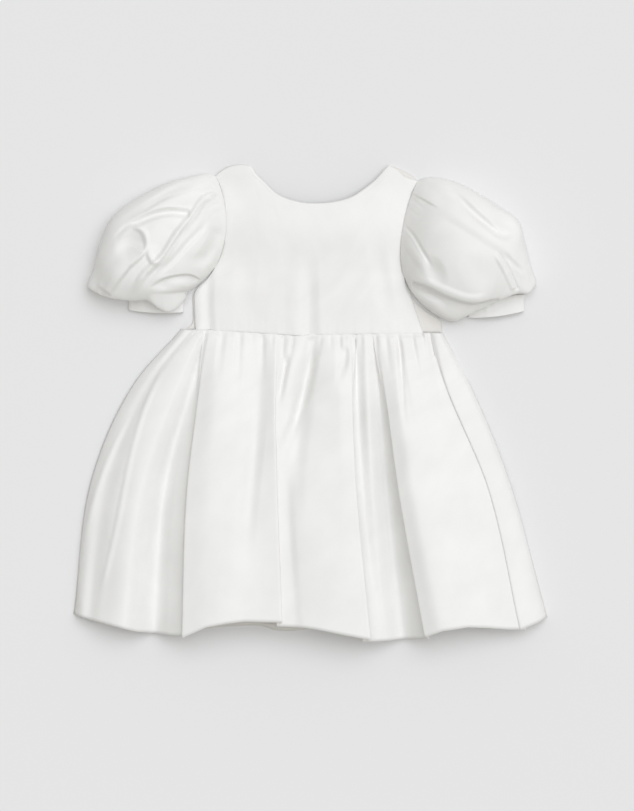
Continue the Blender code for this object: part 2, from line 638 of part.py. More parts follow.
def ring(section, creases, place=0.0, last=0.0):
    """Points round one flattened section: over its top from the outer end to the inner one, then back below."""
    points = []
    height = float(section.height)
    for step in range(RING_TOP + 1):
        share = 0.5 - 0.5 * math.cos(math.pi * step / RING_TOP)
        x, y = arc((section.outer, section.middle, section.inner), share)
        rise = math.sin(math.pi * share) ** float(section.power) if 0 < step < RING_TOP else 0.0
        top = RING_CORNER + (height - RING_CORNER) * rise
        if creases:
            top += rise * min(1.0, height / CREASED_HEIGHT) * crease_lift(x, y, creases)
            top -= rise * gathered(share, place, last)
        points.append((x, y, top))
    for step in range(1, RING_FLOOR):
        share = 0.5 + 0.5 * math.cos(math.pi * step / RING_FLOOR)
        x, y = arc((section.outer, section.floor, section.inner), share)
        points.append((x, y, 0.0))
    return points


def sleeve(name, sections, creases, collection):
    last = len(sections) - 1
    places = [step / RINGS_BETWEEN for step in range(last * RINGS_BETWEEN + 1)]
    skin = [ring(blended(sections, place), creases, place, last) for place in places]
    return solidified(name, np.array(skin), True, SATIN, collection, turned=sections[0].outer[0] < 0)


def cuff(name, seam, hem, collection):
    lowered = [(x, y - SEAM) for x, y in (seam.outer, seam.middle, seam.inner, seam.floor)]
    start = Section(*lowered, CUFF_HEIGHT, seam.power)
    skin = [ring(blended([start, hem], step / CUFF_STEPS), []) for step in range(CUFF_STEPS + 1)]
    return solidified(name, np.array(skin), True, SATIN, collection, turned=hem.outer[0] < 0)


# Closure


def block(name, low, high, finish, collection):
    bpy.ops.mesh.primitive_cube_add(size=1)
    made = bpy.context.active_object
    made.name = name
    made.data.name = name
    low = np.array(low) * MM
    high = np.array(high) * MM
    for vertex in made.data.vertices:
        vertex.co = [low[axis] if vertex.co[axis] < 0 else high[axis] for axis in range(3)]
    made.data.materials.append(material(finish))
    for home in list(made.users_collection):
        home.objects.unlink(made)
    collection.objects.link(made)
    return made


def back_zip(collection):
    low = WALL + SEAM
    half = ZIP_WIDTH / 2
    tape_low = (CENTRE_BACK - half, ZIP_END, low)
    tape_high = (CENTRE_BACK + half, ZIP_TOP, low + ZIP_THICK)
    block("zip_tape", tape_low, tape_high, ZIP_TAPE, collection)
    slider_low = (CENTRE_BACK - SLIDER[0] / 2, ZIP_TOP - 2 - SLIDER[1], low + ZIP_THICK + SEAM)
    slider_high = (CENTRE_BACK + SLIDER[0] / 2, ZIP_TOP - 2, low + ZIP_THICK + SEAM + SLIDER[2])
    block("zip_slider", slider_low, slider_high, ZIP_METAL, collection)


def main():
    for old in list(bpy.data.objects):
        bpy.data.objects.remove(old)
    collection = bpy.data.collections.new(ROOT)
    bpy.context.scene.collection.children.link(collection)
    bodice_front(collection)
    bodice_back(collection)
    skirt_front(collection)
    skirt_back(collection)
    sleeve("sleeve_left", LEFT_SLEEVE, LEFT_SLEEVE_CREASES, collection)
    sleeve("sleeve_right", RIGHT_SLEEVE, RIGHT_SLEEVE_CREASES, collection)
    cuff("cuff_left", LEFT_SLEEVE[-1], LEFT_CUFF_HEM, collection)
    cuff("cuff_right", RIGHT_SLEEVE[-1], RIGHT_CUFF_HEM, collection)
    back_zip(collection)


main()
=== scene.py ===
"""Child's satin dress laid flat with its front up: the finished look.

The tables give places in millimetres on the frame's own axes: +X to the right as seen from above, +Y
towards the neck and +Z up from the surface that the dress lies on.
"""

import math
from collections import namedtuple

import bmesh
import bpy
import numpy as np
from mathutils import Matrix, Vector


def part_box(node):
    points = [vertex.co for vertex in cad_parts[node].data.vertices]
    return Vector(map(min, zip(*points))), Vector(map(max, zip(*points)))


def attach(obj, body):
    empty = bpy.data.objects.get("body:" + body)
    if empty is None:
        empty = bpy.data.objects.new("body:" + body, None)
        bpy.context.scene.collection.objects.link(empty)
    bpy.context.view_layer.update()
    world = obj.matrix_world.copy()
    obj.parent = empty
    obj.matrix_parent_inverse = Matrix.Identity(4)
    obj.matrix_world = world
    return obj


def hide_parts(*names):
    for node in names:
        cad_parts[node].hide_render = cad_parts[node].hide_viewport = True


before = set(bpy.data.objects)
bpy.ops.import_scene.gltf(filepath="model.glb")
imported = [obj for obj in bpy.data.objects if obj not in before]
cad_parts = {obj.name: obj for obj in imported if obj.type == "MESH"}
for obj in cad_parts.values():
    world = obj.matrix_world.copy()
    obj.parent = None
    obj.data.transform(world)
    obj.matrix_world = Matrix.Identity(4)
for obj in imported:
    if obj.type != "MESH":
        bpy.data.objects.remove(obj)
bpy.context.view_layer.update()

# Driving sizes
MM = 0.001
CLOTH = 0.8  # thickness of the satin
SEAM = 0.3  # gap between two pieces at their seam
LOWEST_FRONT = 1.85  # the front's middle stays this far above the surface, over the back
CENTRE_BACK = 1.5
LAYERS = 0.3  # how closely the layers of a pleat lie, against those of thick walls
ZIP_WIDTH = 22.0
ZIP_TOP = 186.0
ZIP_END = -14.0
ZIP_LOW = 1.8
ZIP_TAPE_THICK = 0.7
COIL_PITCH = 1.5
COIL_RADIUS = 1.25
COIL_WIRE = 0.32
COIL_RISE = 0.55
COIL_LEAN = 78.0
COIL_SHAPE = (1.5, 0.45, 1.0)
COIL_START = 4.0
COIL_SHORT = 14.0  # how much shorter than its tape the coil is
SLIDER_WAIST = 0.74  # width of the slider's narrow end, against the wide one
SLIDER_RIM = 0.25  # height at its edges, against its crown
Rib = namedtuple("Rib", "place half_width height")
ZIP_RIBS = [Rib(4.0, 1.6, 0.35), Rib(10.3, 1.0, 0.25)]
CUFF_HEIGHT = 10.0
CUFF_HEM_HEIGHT = 7.2

# Grids
SKIRT_ROWS = 104
SKIRT_ROW_POWER = 1.3
SKIRT_PITCH = 1.9
PLEAT_PITCH = 0.9
BODICE_ROWS = 120
BODICE_COLUMNS = 170
RING_TOP = 150
RING_FLOOR = 20
SLEEVE_RINGS = 18  # from one section to the next
CUFF_TOP = 130
CUFF_FLOOR = 40
CUFF_STEPS = 16
PANEL = (60, 60)

# Camera and light
PHOTO = (634, 811)  # pixels, and one of them is a millimetre on the cloth
PHOTO_CENTRE = (6.5, -2.8)
CAMERA_HEIGHT = 4.0
CLOTH_HEIGHT = 0.015
SENSOR = 36.0
SUN_FROM = (0.26, 0.28, 1.0)
SUN_ANGLE = 65.0
SUN_STRENGTH = 1.68
SUN_COLOUR = (0.98, 1.0, 1.07)
SKY_STRENGTH = 0.506
SKY_BRIGHT_SIDE = (0.85, 0.52)
SKY_SLOPE = 0.25  # how much brighter the sky is on that side
SKY_RISE = 0.4  # how much brighter it is overhead
SKY_COLOUR = (1.0, 0.98, 0.91)
FLOOR_COLOUR = (0.79, 0.79, 0.79)
FLOOR_SIZE = 40.0
FLOOR_PLACE = -0.3

# Finishes
SATIN = (0.842, 0.840, 0.826)
# The reverse is duller, and its darker, warmer tone is partly painted shade, standing in for the shade on the
# inner strips at the hem
SATIN_REVERSE_PAINTED_SHADE = (0.80, 0.78, 0.745)
TAPE_COLOUR = (0.84, 0.83, 0.80)
COIL_COLOUR = (0.82, 0.81, 0.78)
SLIDER_COLOUR = (0.80, 0.79, 0.77)
FLOAT_STRETCH = (2.6, 0.45, 1.0)
CROSS_STRETCH = (0.5, 2.9, 1.0)
CLOUD_STRETCH = (0.035, 0.028, 1.0)
CROSS_SHARE = 0.6
CLOUD_SHARE = 0.8
CLOUD_TONES = (0.965, 1.02)
THREAD_GLOSS = 0.035
RELIEF = 0.6
SPECK_TONE = 0.96
SPECK_GLOSS = 0.05


def rows(kind, values):
    return [kind(*row) for row in values]


# The waist seam, from left to right
WAIST = [(-131, 72.4), (-101, 72.2), (-56, 69.7), (-10, 66.8), (5, 67.6), (66, 68.7), (92, 69.6), (133, 69)]

# Lines down the front skirt, with their place across and height at the waist, high on the skirt, halfway
# down and at the hem. A pleat is a doubled edge whose cloth turns back below it.
STATIONS = np.array((0, 0.18, 0.52, 1))
Line = namedtuple("Line", "name waist high mid hem hem_y")
Pleat = namedtuple("Pleat", "name side waist high mid hem hem_y low_y overlap layer")
SKIRT = [
    Line("left_seam", (-130.5, 2.8), (-175.5, 2.8), (-219, 2.8), (-236.5, 2.8), -212.3),
    Line("left_roll", (-126, 6.5), (-166.5, 9), (-211, 11), (-230, 11.5), -214),
    Line("left_dip", (-121, 6.5), (-160, 11), (-202, 14), (-221, 14), -217),
    Line("left_crease", (-117, 8), (-152, 16), (-189, 22), (-210, 21), -219.5),
    Line("left_crest", (-109, 9.5), (-134, 19), (-169, 27), (-188, 27.5), -225),
    Line("left_fall", (-106.5, 8.5), (-126.5, 16), (-157, 19.5), (-174, 18.5), -229),
    Line("first_trough", (-104.5, 7), (-119.5, 11), (-146, 9), (-157, 5.5), -231),
    Line("first_rise", (-103.3, 7), (-114, 11.5), (-134, 17), (-142, 16), -232.5),
    Pleat("first_pleat", 1, (-101, 9), (-110, 19), (-123, 29), (-128, 31.5), -234.2, -232.5, 4, 5),
    Line("second_panel", (-88, 9.5), (-93, 24), (-101, 33.5), (-104, 36.5), -223.8),
    Line("second_middle", (-70, 9), (-72, 22), (-76, 32.5), (-84, 37), -220),
    Line("second_dip", (-52, 7.5), (-52, 17), (-57, 29), (-66, 34), -218),
    Pleat("second_pleat", -1, (-35, 9.5), (-35.5, 23), (-33.5, 32), (-28.5, 34), -219, -223, 5, 5),
    Line("slit_ridge", (-8.5, 10), (-20, 19), (-23.5, 27), (-15, 31.5), -223.5),
    Line("slit_valley", (4.5, 6.5), (-7, 10), (-14.5, 29), (-7, 33.5), -224),
    Line("third_start", (12, 9.5), (6, 17), (-3, 31.5), (4, 34.5), -225.5),
    Line("third_panel", (27.5, 10), (27.5, 22.5), (30, 33), (31, 35.5), -231),
    Pleat("third_pleat", -1, (39, 9.5), (41, 21), (46, 32), (60, 34), -236.3, -238, 8, 5),
    Line("dark_strip", (45, 6.5), (46.5, 10), (52, 16.5), (66, 20.5), -238.4),
    Line("small_ridge", (54, 9), (56.5, 16), (62.5, 18), (76, 17), -238),
    Line("deep_strip", (62, 6.5), (68, 9), (77.5, 6.5), (94, 5.5), -236.8),
    Pleat("fourth_pleat", 1, (68, 9), (74.5, 19), (88, 29), (114, 31), -234, -235.5, 4, 5),
    Line("fourth_panel", (82, 9.5), (89, 23), (103, 34), (131, 36.5), -227.5),
    Line("fourth_middle", (97.5, 8.5), (107.5, 19.5), (127, 29), (157, 32.5), -223.8),
    Line("fourth_fall", (111, 8), (120, 15), (149, 23), (179, 26.5), -224.8),
    Line("last_trough", (119.5, 6), (129, 11.5), (166, 17.5), (196, 20), -226.5),
    Pleat("last_pleat", 1, (124.5, 7), (137, 12.5), (177.5, 16.5), (209.5, 18.5), -227.3, -227, 6, 3.2),
    Line("right_strip", (128.5, 7), (148, 11), (188, 14), (224, 15), -221.5),
    Line("right_roll", (130.5, 5.5), (155.5, 8.5), (195.5, 9.5), (232.5, 9.5), -217.5),
    Line("right_seam", (132.5, 2.8), (160, 2.8), (199.5, 2.8), (236.5, 2.8), -215.3),
]
PLEAT_STEP = [(-5, -2.6), (-4, -2.3), (-3, -1.7), (-2, -1), (-1, -0.4), (0, 0)]
PLEAT_FOLDS = (0.04, 0.34)

# Gathers below the waist seam: place along the seam, half width, depth and length down the skirt
Gather = namedtuple("Gather", "x half_width depth length")
GATHERS = rows(Gather, [
    (-118, 4, 0.8, 0.10), (-105, 4, 1.4, 0.14), (-88, 5, 2, 0.18), (-71, 5, 2.6, 0.26),
    (-59, 3, 0.8, 0.07), (-48, 5, 2, 0.17), (-38, 3, 0.8, 0.06), (-27, 4, 2.4, 0.22),
    (-17, 3, 2.2, 0.13), (-6, 3, 1.2, 0.08), (0, 3, 2.6, 0.15), (11, 3, 1.6, 0.08),
    (21, 3, 1, 0.06), (29, 4, 2, 0.17), (41, 3, 1.4, 0.09), (51, 3, 1.6, 0.12),
    (66, 3, 1.2, 0.07), (75, 4, 1.8, 0.15), (87, 4, 2.6, 0.33), (101, 4, 2, 0.22),
    (112, 3, 0.8, 0.09), (119, 4, 1.6, 0.18),
])

# Waves across the cloth where it is puckered along the waist seam, below it and above it
Wave = namedtuple("Wave", "share rate phase")
SKIRT_PUCKERS = [Wave(1, 1.21, 0), Wave(0.8, 0.83, 1), Wave(0.6, 0.47, 2)]
BODICE_PUCKERS = [Wave(1, 0.71, 0), Wave(0.7, 0.39, 1.4), Wave(0.6, 1.13, 0.5)]
SKIRT_PUCKER = 0.3
BODICE_PUCKER = 0.12

# Outlines of the back
BACK_LEFT_EDGE = [(-131.5, 72.1), (-176.5, 18), (-220, -84), (-238, -212)]
BACK_RIGHT_EDGE = [(133.5, 68.7), (161, 15), (200.5, -84), (238, -215)]
BACK_HEM_LEFT = [(-238, -212), (-175, -226), (-129, -231), (-105, -226.5), (-80, -224.5), (-48, -224.5),
                 (-36, -228), (-10, -228.3), (1.35, -226)]
BACK_HEM_RIGHT = [(1.65, -226), (29.5, -230), (46.5, -235), (62, -239), (79, -238), (107, -235),
                  (131.5, -226.5), (163.5, -223), (207, -226), (238, -215)]
BACK_SIDE_LEFT = [(-126.5, 72.5), (-119, 79), (-117.8, 92), (-117.4, 109.5), (-103.4, 124.7), (-95.5, 135.7)]
BACK_SIDE_RIGHT = [(131.5, 69.2), (131, 81.5), (118, 90), (104.5, 101.5), (99, 112.7), (94, 125.4)]
BACK_SHOULDER_LEFT = [(-95.5, 227.7), (-86.5, 234.9), (-79.5, 238), (-70.5, 239), (-60, 238)]
BACK_SHOULDER_RIGHT = [(78.5, 238.4), (89.5, 234.5), (95.5, 231.7), (102.5, 227.2), (107.5, 222.4)]
BACK_NECK_LEFT = [(-60, 238), (-52, 222), (-36, 203), (-18, 193), (1.35, 190)]
BACK_NECK_RIGHT = [(1.65, 190), (24, 192.5), (45, 203), (62, 219), (74, 232), (78.5, 238.4)]

# Outlines of the front bodice
LEFT_ARMHOLE = [(-95.5, 227.7), (-84.5, 180.7), (-95.5, 135.7)]
RIGHT_ARMHOLE = [(107.5, 222.4), (91.8, 170.7), (94, 125.4)]
ARMHOLE_SHARE = 0.6
FRONT_SIDE_LEFT = [(-115.5, 72.6), (-116.5, 97.7), (-116, 110.5), (-102.7, 125.2), (-95.5, 135.7)]
FRONT_SIDE_RIGHT = [(113.5, 69.3), (105.5, 91.7), (102.5, 101.7), (96.5, 113.7), (94, 125.4)]
FRONT_SHOULDER_LEFT = [(-95.5, 227.7), (-86.5, 234.2), (-79.5, 237.2), (-70.5, 238.4), (-59.5, 237.5)]
FRONT_NECK = [(-59.5, 237.5), (-56.5, 231.7), (-46, 220.7), (-34.5, 209.7), (-15.5, 201.7), (11.5, 199.7),
              (27.5, 201.7), (42.5, 206.7), (54.5, 214.7), (65.5, 223.7), (74.5, 233.7), (78.5, 238)]
FRONT_SHOULDER_RIGHT = [(78.5, 238), (86, 233.7), (94.5, 226.7), (107.5, 222.4)]
WAIST_MIDDLE = (FRONT_SIDE_LEFT[0][0] + FRONT_SIDE_RIGHT[0][0]) / 2
WAIST_HALF = (FRONT_SIDE_RIGHT[0][0] - FRONT_SIDE_LEFT[0][0]) / 2
SHOULDER_SHARE = 0.16
BACK_SHOULDER_SHARE = 0.33
EDGE_LIFT = 2.4
ARMHOLE_LIFT = 5.0
WAIST_CROWN = 5.6
CHEST_CROWN = 8.5
NECK_CROWN = 5.0
CROWN_POWER = 3.2
SEAM_TURN = 1.1  # how far a seam allowance runs on under its neighbour
SKIRT_TUCK = 2.2  # how far it drops there
SLEEVE_TUCK = 2.6
EDGE_TURN = 0.9  # how far an edge rolls under
STITCH_DEPTH = 0.28
BACK_WAVE = 0.15
RIM_GATHER = 0.7
NECK_STITCH = 3.4  # the line of under-stitching, from the neckline

# Sections along each sleeve, from the armhole to the seam of the cuff
Section = namedtuple("Section", "outer middle inner floor height power")
LEFT_SLEEVE = rows(Section, [
    ((-95.8, 227.7), (-84.8, 180.7), (-95.8, 135.7), (-84.8, 180.7), 9.5, 0.9),
    ((-105.5, 229.7), (-97.5, 180), (-100, 130.7), (-97.5, 180), 22, 0.75),
    ((-120.5, 226.7), (-112.5, 176), (-104.5, 125.7), (-112.5, 176), 34, 0.62),
    ((-140.5, 221.2), (-130.5, 171), (-109, 121.7), (-130.5, 171), 42, 0.6),
    ((-162.5, 211.2), (-147.5, 162), (-113, 118.2), (-147.5, 162), 46, 0.6),
    ((-184.5, 198.2), (-163.5, 149), (-116.5, 115.4), (-163.5, 149), 46, 0.6),
    ((-200.5, 182.7), (-173.5, 136), (-119.5, 113.4), (-172.5, 136.5), 44, 0.6),
    ((-211, 158.7), (-180.5, 121), (-122, 111.9), (-175, 125), 40, 0.6),
    ((-217.5, 132.7), (-182.5, 109.7), (-124, 110.8), (-172, 118), 34, 0.6),
    ((-223.5, 116.2), (-183.5, 102.2), (-124.9, 110.2), (-167, 114.6), 26, 0.5),
    ((-208, 112.6), (-174, 104.2), (-125.8, 109.6), (-161, 111.8), 17.5, 0.42),
    ((-182.5, 109.2), (-155, 107.4), (-127.5, 108), (-155, 107.4), 10.6, 0.5),
])
RIGHT_SLEEVE = rows(Section, [
    ((107.8, 222.4), (92.1, 170.7), (94.3, 125.4), (92.1, 170.7), 9.5, 0.9),
    ((117.5, 225.7), (103.5, 168), (97, 118.7), (103.5, 168), 22, 0.75),
    ((132.5, 224.7), (117.5, 165), (101, 111.7), (117.5, 165), 34, 0.62),
    ((152.5, 218.2), (134.5, 160), (106.5, 104.2), (134.5, 160), 42, 0.6),
    ((173.5, 206.2), (152.5, 151), (114, 96.7), (152.5, 151), 46, 0.6),
    ((192.5, 194.2), (167.5, 141), (122.5, 90.2), (167.5, 141), 46, 0.6),
    ((208.5, 181.7), (177.5, 130), (131, 85.2), (177, 130.5), 44, 0.6),
    ((215, 159.7), (183.5, 119), (138.5, 82.2), (181, 122), 40, 0.6),
    ((220.5, 138.7), (185.5, 109), (144.5, 81.2), (180.5, 116), 34, 0.6),
    ((226, 119.7), (186.5, 101.2), (149.5, 83.2), (182, 112), 26, 0.5),
    ((221, 113.8), (186.5, 102.4), (154, 86.4), (184.5, 108), 17.5, 0.42),
    ((214.5, 108.9), (186.5, 103.6), (158, 88.6), (186.5, 103.6), 10.6, 0.5),
])
LEFT_CUFF_HEM = Section((-182.5, 92.7), (-153.5, 89.7), (-127.5, 90.7), (-153.5, 89.7), CUFF_HEM_HEIGHT, 0.5)
RIGHT_CUFF_HEM = Section((214.3, 91.7), (186, 86.2), (158.7, 85.2), (186, 86.2), CUFF_HEM_HEIGHT, 0.5)
RING_CORNER = 3.0
CREASED_HEIGHT = 30.0
SLEEVE_FOLDING = 0.7  # how deep the folds of the sleeves are, against their tables
SLEEVE_FULLNESS = 0.58  # below 1, the top of a sleeve is flatter and its sides are steeper

# A fold is a line on the cloth seen from above. Its lift is the height of a ridge, or the depth of a
# trough where it is negative, which fades out over the half width. With an edge of 1 the cloth left of
# the line, walking along it, is lifted and ends in a step; with -1 that is the cloth right of it. The
# fades are the parts of its length over which it comes and goes, and the drop is the width of its step.
Fold = namedtuple("Fold", "name path half_width lift fades edge drop", defaults=((0.3, 0.3), 0, 1.6))
FOLD_STEPS = 16

# A dent is a soft round hollow, or a swelling where its lift is positive
Dent = namedtuple("Dent", "name place radii turn lift")

SKIRT_FOLDS = rows(Fold, [
    ("outer_crease", [(-170, 8), (-199, -46), (-217, -94), (-228, -138), (-234, -206)],
     6, 1.2, (0.3, 0.05), 1),
    ("inner_crease", [(-143, 45), (-166, -3), (-178, -43), (-194, -121), (-210, -189)],
     6, 1.3, (0.2, 0.1), 1),
    ("second_valley", [(-51, 20), (-55, -40), (-62, -110), (-68, -175)], 11, -2.4, (0.4, 0.5)),
    ("slit", [(-23, 50), (-28, 22), (-33, -6)], 5, -5, (0.2, 0.5)),
    ("diagonal_valley", [(5, 58), (-8, 4), (-33, -62)], 8, -5, (0.2, 0.4)),
    ("third_hook", [(35, 58), (33, 38), (27, 18)], 6, -3, (0.2, 0.6)),
    ("fourth_crease", [(89, 64), (91, 20), (94, -14), (98, -37)], 4, -2.5, (0.1, 0.6)),
    ("strip_hollow", [(140, 55), (150, 35), (158, 12)], 8, -1.6, (0.5, 0.5)),
])
SKIRT_DENTS = rows(Dent, [
    ("third_hollow", (22, -4), (15, 11), 0, -1.3),
    ("fourth_hollow", (107, -22), (16, 15), 20, -1.1),
    ("low_hollow", (122, -72), (22, 15), 15, -1.3),
    ("fourth_level", (128, -40), (26, 46), 12, 1.6),
    ("low_swelling", (-80, -165), (26, 50), 5, 1.2),
    ("third_swelling", (22, -170), (22, 44), 0, 1.2),
])
BODICE_FOLDS = rows(Fold, [
    ("centre_trough", [(-2, 160), (-1, 115), (-1, 62)], 11, -2.4, (0.6, 0)),
    ("centre_ridge", [(-14, 150), (-15, 110), (-14, 60)], 12, 1, (0.5, 0)),
    ("right_trough", [(61, 178), (70, 130), (77, 80)], 12, -1.8, (0.5, 0.3)),
    ("left_trough", [(-101, 142), (-103, 110), (-102, 72)], 8, -2, (0.4, 0)),
    ("left_chest_trough", [(-62, 172), (-66, 120), (-70, 80)], 14, -0.9, (0.5, 0.5)),
])
BODICE_DENTS = [Dent("left_shoulder", (-72, 208), (18, 12), -30, -1)]
LEFT_SLEEVE_FOLDS = rows(Fold, [
    ("crown_valley", [(-112, 222), (-140, 210), (-166, 193), (-191, 178)], 6, -3.2),
    ("crown_line", [(-116, 213), (-138, 206), (-158, 196), (-176, 184)], 3, -1.6, (0.3, 0.4)),
    ("band_ridge", [(-118, 196), (-142, 198), (-165, 190), (-186, 172)], 9, 3.2),
    ("band_valley", [(-119, 188), (-143, 189), (-162, 184), (-178, 176), (-190, 167), (-195, 157)],
     6, -6.5, (0.05, 0.4)),
    ("flap_floor", [(-132, 178), (-145, 170), (-152, 158), (-155, 146)], 11, -2),
    ("hook_rim", [(-194, 157), (-186, 168), (-175, 175), (-166, 170), (-162, 158), (-160, 147), (-155, 139),
                  (-148, 142)], 4.5, 3.6, (0.25, 0.1)),
    ("lobe_edge", [(-163, 160), (-166, 148), (-177, 138), (-190, 123), (-202, 107)],
     19, 8, (0.2, 0.05), -1, 3),
    ("main_ridge", [(-92, 211), (-106, 203), (-116, 188), (-131, 169), (-148, 143), (-163, 130), (-178, 108)],
     5.5, 6, (0.05, 0.15)),
    ("ridge_line", [(-104, 205), (-118, 183), (-136, 157), (-147, 141), (-166, 120)], 2, -2.4, (0.2, 0.2)),
    ("lower_valley", [(-100, 190), (-108, 174), (-123, 157), (-139, 139), (-158, 124)], 5, -3.4),
    ("armhole_valley", [(-90, 177), (-94, 165), (-104, 147), (-116, 135)], 9, -6.5, (0.2, 0.3)),
    ("underarm_edge", [(-160, 113), (-149, 121), (-133, 126), (-117, 126), (-108, 121)],
     13, -8, (0.3, 0.15), -1, 1.4),
    ("gather_one", [(-94, 217), (-106, 216), (-118, 212)], 2.4, -1.6, (0.1, 0.7)),
    ("gather_two", [(-93, 211), (-104, 210), (-121, 203)], 2.2, -1.8, (0.1, 0.7)),
    ("gather_three", [(-92, 206), (-101, 206), (-112, 200)], 2, -1.4, (0.1, 0.7)),
    ("gather_four", [(-90, 199), (-97, 198), (-104, 191)], 2.2, -1.6, (0.1, 0.7)),
    ("gather_five", [(-88, 192), (-95, 190), (-101, 183)], 2.2, -1.4, (0.1, 0.7)),
])
LEFT_SLEEVE_DENTS = rows(Dent, [
    ("round_hollow", (-176, 156), (13, 12), 20, -7.5),
    ("lobe", (-199, 131), (12, 17), -25, 5.5),
    ("lower_swelling", (-110, 158), (13, 9), 35, 2.5),
    ("head_hollow", (-126, 202), (14, 5), 15, -2.5),
    ("lower_lobe", (-132, 121), (20, 5), 0, 2),
])
RIGHT_SLEEVE_FOLDS = rows(Fold, [
    ("head_edge", [(98, 212), (109, 206), (122, 198), (132, 192)], 14, 3.4, (0.05, 0.5), 1, 1.4),
    ("long_ridge", [(122, 199), (144, 186), (163, 174), (183, 161), (198, 152), (214, 132), (222, 124)],
     10, 3.2, (0.3, 0.1)),
    ("upper_valley", [(134, 217), (150, 201), (163, 188), (177, 176), (190, 167), (204, 166)],
     6, -6.5, (0.4, 0.15)),
    ("tip_line", [(185, 150), (193, 140), (202, 123), (207, 112)], 2.2, -2.8, (0.2, 0.05)),
    ("tip_rim", [(181, 151), (189, 139), (198, 122), (203, 112)], 4, 2.6, (0.3, 0.05)),
    ("tip_valley", [(190, 150), (201, 139), (216, 128)], 4, -2.2, (0.3, 0.4)),
    ("armhole_line", [(93, 178), (101, 169), (112, 150), (122, 133)], 2.6, -2.6, (0.1, 0.3)),
    ("armhole_rim", [(90, 169), (99, 155), (109, 140), (118, 128)], 6, 2.2, (0.3, 0.4)),
    ("main_hem", [(101, 121), (118, 114), (138, 104), (152, 99.5), (163, 98), (178, 101), (190, 104)],
     26, -12, (0.04, 0.1), -1, 1.2),
    ("main_hem_rim", [(103, 124), (119, 118), (139, 109), (153, 104), (166, 103), (180, 107)],
     6, 2.6, (0.2, 0.2)),
    ("gather_one", [(99, 205), (107, 199), (116, 190)], 2.6, -1, (0.1, 0.7)),
    ("gather_two", [(96, 196), (103, 190), (112, 183)], 2.6, -0.8, (0.1, 0.7)),
])

# A pull moves the cloth of a sleeve about one place on it: the section and the share of the way from its
# outer end, how far it is felt each way, and the shift that it gives
Pull = namedtuple("Pull", "name section share sections shares shift")
LEFT_SLEEVE_PULLS = [Pull("lower_lobe", 9.3, 0.87, 1.7, 0.2, (1, -15, -3))]
RIGHT_SLEEVE_PULLS = [Pull("tip", 9, 0.12, 1.6, 0.12, (2, -4, 0))]
RIGHT_SLEEVE_DENTS = rows(Dent, [
    ("round_hollow", (196, 176), (13, 8), -42, -9),
    ("main_swelling", (140, 158), (34, 24), -40, 2),
    ("armhole_end", (124, 131), (7, 12), 28, -4.5),
    ("main_shade", (170, 128), (18, 13), -40, -2.5),
    ("under_hem", (119, 109), (11, 4), -25, -3.5),
    ("lower_swelling", (121, 100), (12, 5), -30, 2.5),
])


def mix(a, b, share):
    return np.asarray(a, float) * (1 - share) + np.asarray(b, float) * share


def ease(value, start, end):
    """0 before start, 1 after end, and a smooth step between."""
    share = np.clip((value - start) / max(end - start, 1e-6), 0.0, 1.0)
    return share * share * (3 - 2 * share)


def bump(distance, half_width):
    """1 in the middle, and smoothly down to 0 at the half width."""
    return np.maximum(0.0, 1 - (distance / half_width) ** 2) ** 2


def near(distance, reach):
    """1 at no distance, falling off softly over the reach."""
    return np.exp(-((distance / reach) ** 2))


def puckers(x, waves):
    return sum(wave.share * np.sin(x * wave.rate + wave.phase) for wave in waves)


def slopes(points, lengths, long_first=False):
    """The direction of a smooth curve at each of its points. A point's nearer neighbour counts for more, or
    its farther one with long_first, which keeps a panel straight where it meets a tight fold."""
    chords = np.diff(points, axis=-2) / lengths[..., None]
    before, after = lengths[..., :-1, None], lengths[..., 1:, None]
    if long_first:
        before, after = after, before
    inner = (chords[..., :-1, :] * after + chords[..., 1:, :] * before) / (before + after)
    return np.concatenate([chords[..., :1, :], inner, chords[..., -1:, :]], axis=-2)


def hermite(start, end, start_slope, end_slope, length, share):
    square = share * share
    cube = square * share
    return (
        start * (2 * cube - 3 * square + 1)
        + start_slope * length * (cube - 2 * square + share)
        + end * (3 * square - 2 * cube)
        + end_slope * length * (cube - square)
    )


def spline(points, shares):
    """Places at shares of the way along the smooth curve through the points."""
    points = np.asarray(points, float)
    lengths = np.linalg.norm(np.diff(points, axis=0), axis=1)
    tangents = slopes(points, lengths)
    ends = np.cumsum(lengths)
    travelled = np.atleast_1d(shares) * ends[-1]
    index = np.minimum(np.searchsorted(ends, travelled), len(lengths) - 1)
    local = np.clip((travelled - (ends - lengths)[index]) / lengths[index], 0.0, 1.0)[:, None]
    run = lengths[index][:, None]
    return hermite(points[index], points[index + 1], tangents[index], tangents[index + 1], run, local)


def arc(three, shares):
    """The parabola through three points, halfway at the second."""
    first, second, third = (np.asarray(point, float) for point in three)
    share = np.atleast_1d(shares)[:, None]
    return (
        first * (2 * share - 1) * (share - 1)
        + second * 4 * share * (1 - share)
        + third * share * (2 * share - 1)
    )


def station(values, t):
    """The values at places t down the skirt, eased through those at the four stations."""
    values = np.asarray(values, float)
    width = np.diff(STATIONS)
    rise = np.diff(values, axis=0) / width[:, None]
    slope = np.array([rise[0], (rise[0] + rise[1]) / 2, (rise[1] + rise[2]) / 2, rise[2]])
    index = np.searchsorted(STATIONS[1:-1], t)
    local = ((t - STATIONS[index]) / width[index])[:, None]
    run = width[index][:, None]
    return hermite(values[index], values[index + 1], slope[index], slope[index + 1], run, local)


def waist_y(x):
    return np.interp(x, [place[0] for place in WAIST], [place[1] for place in WAIST])


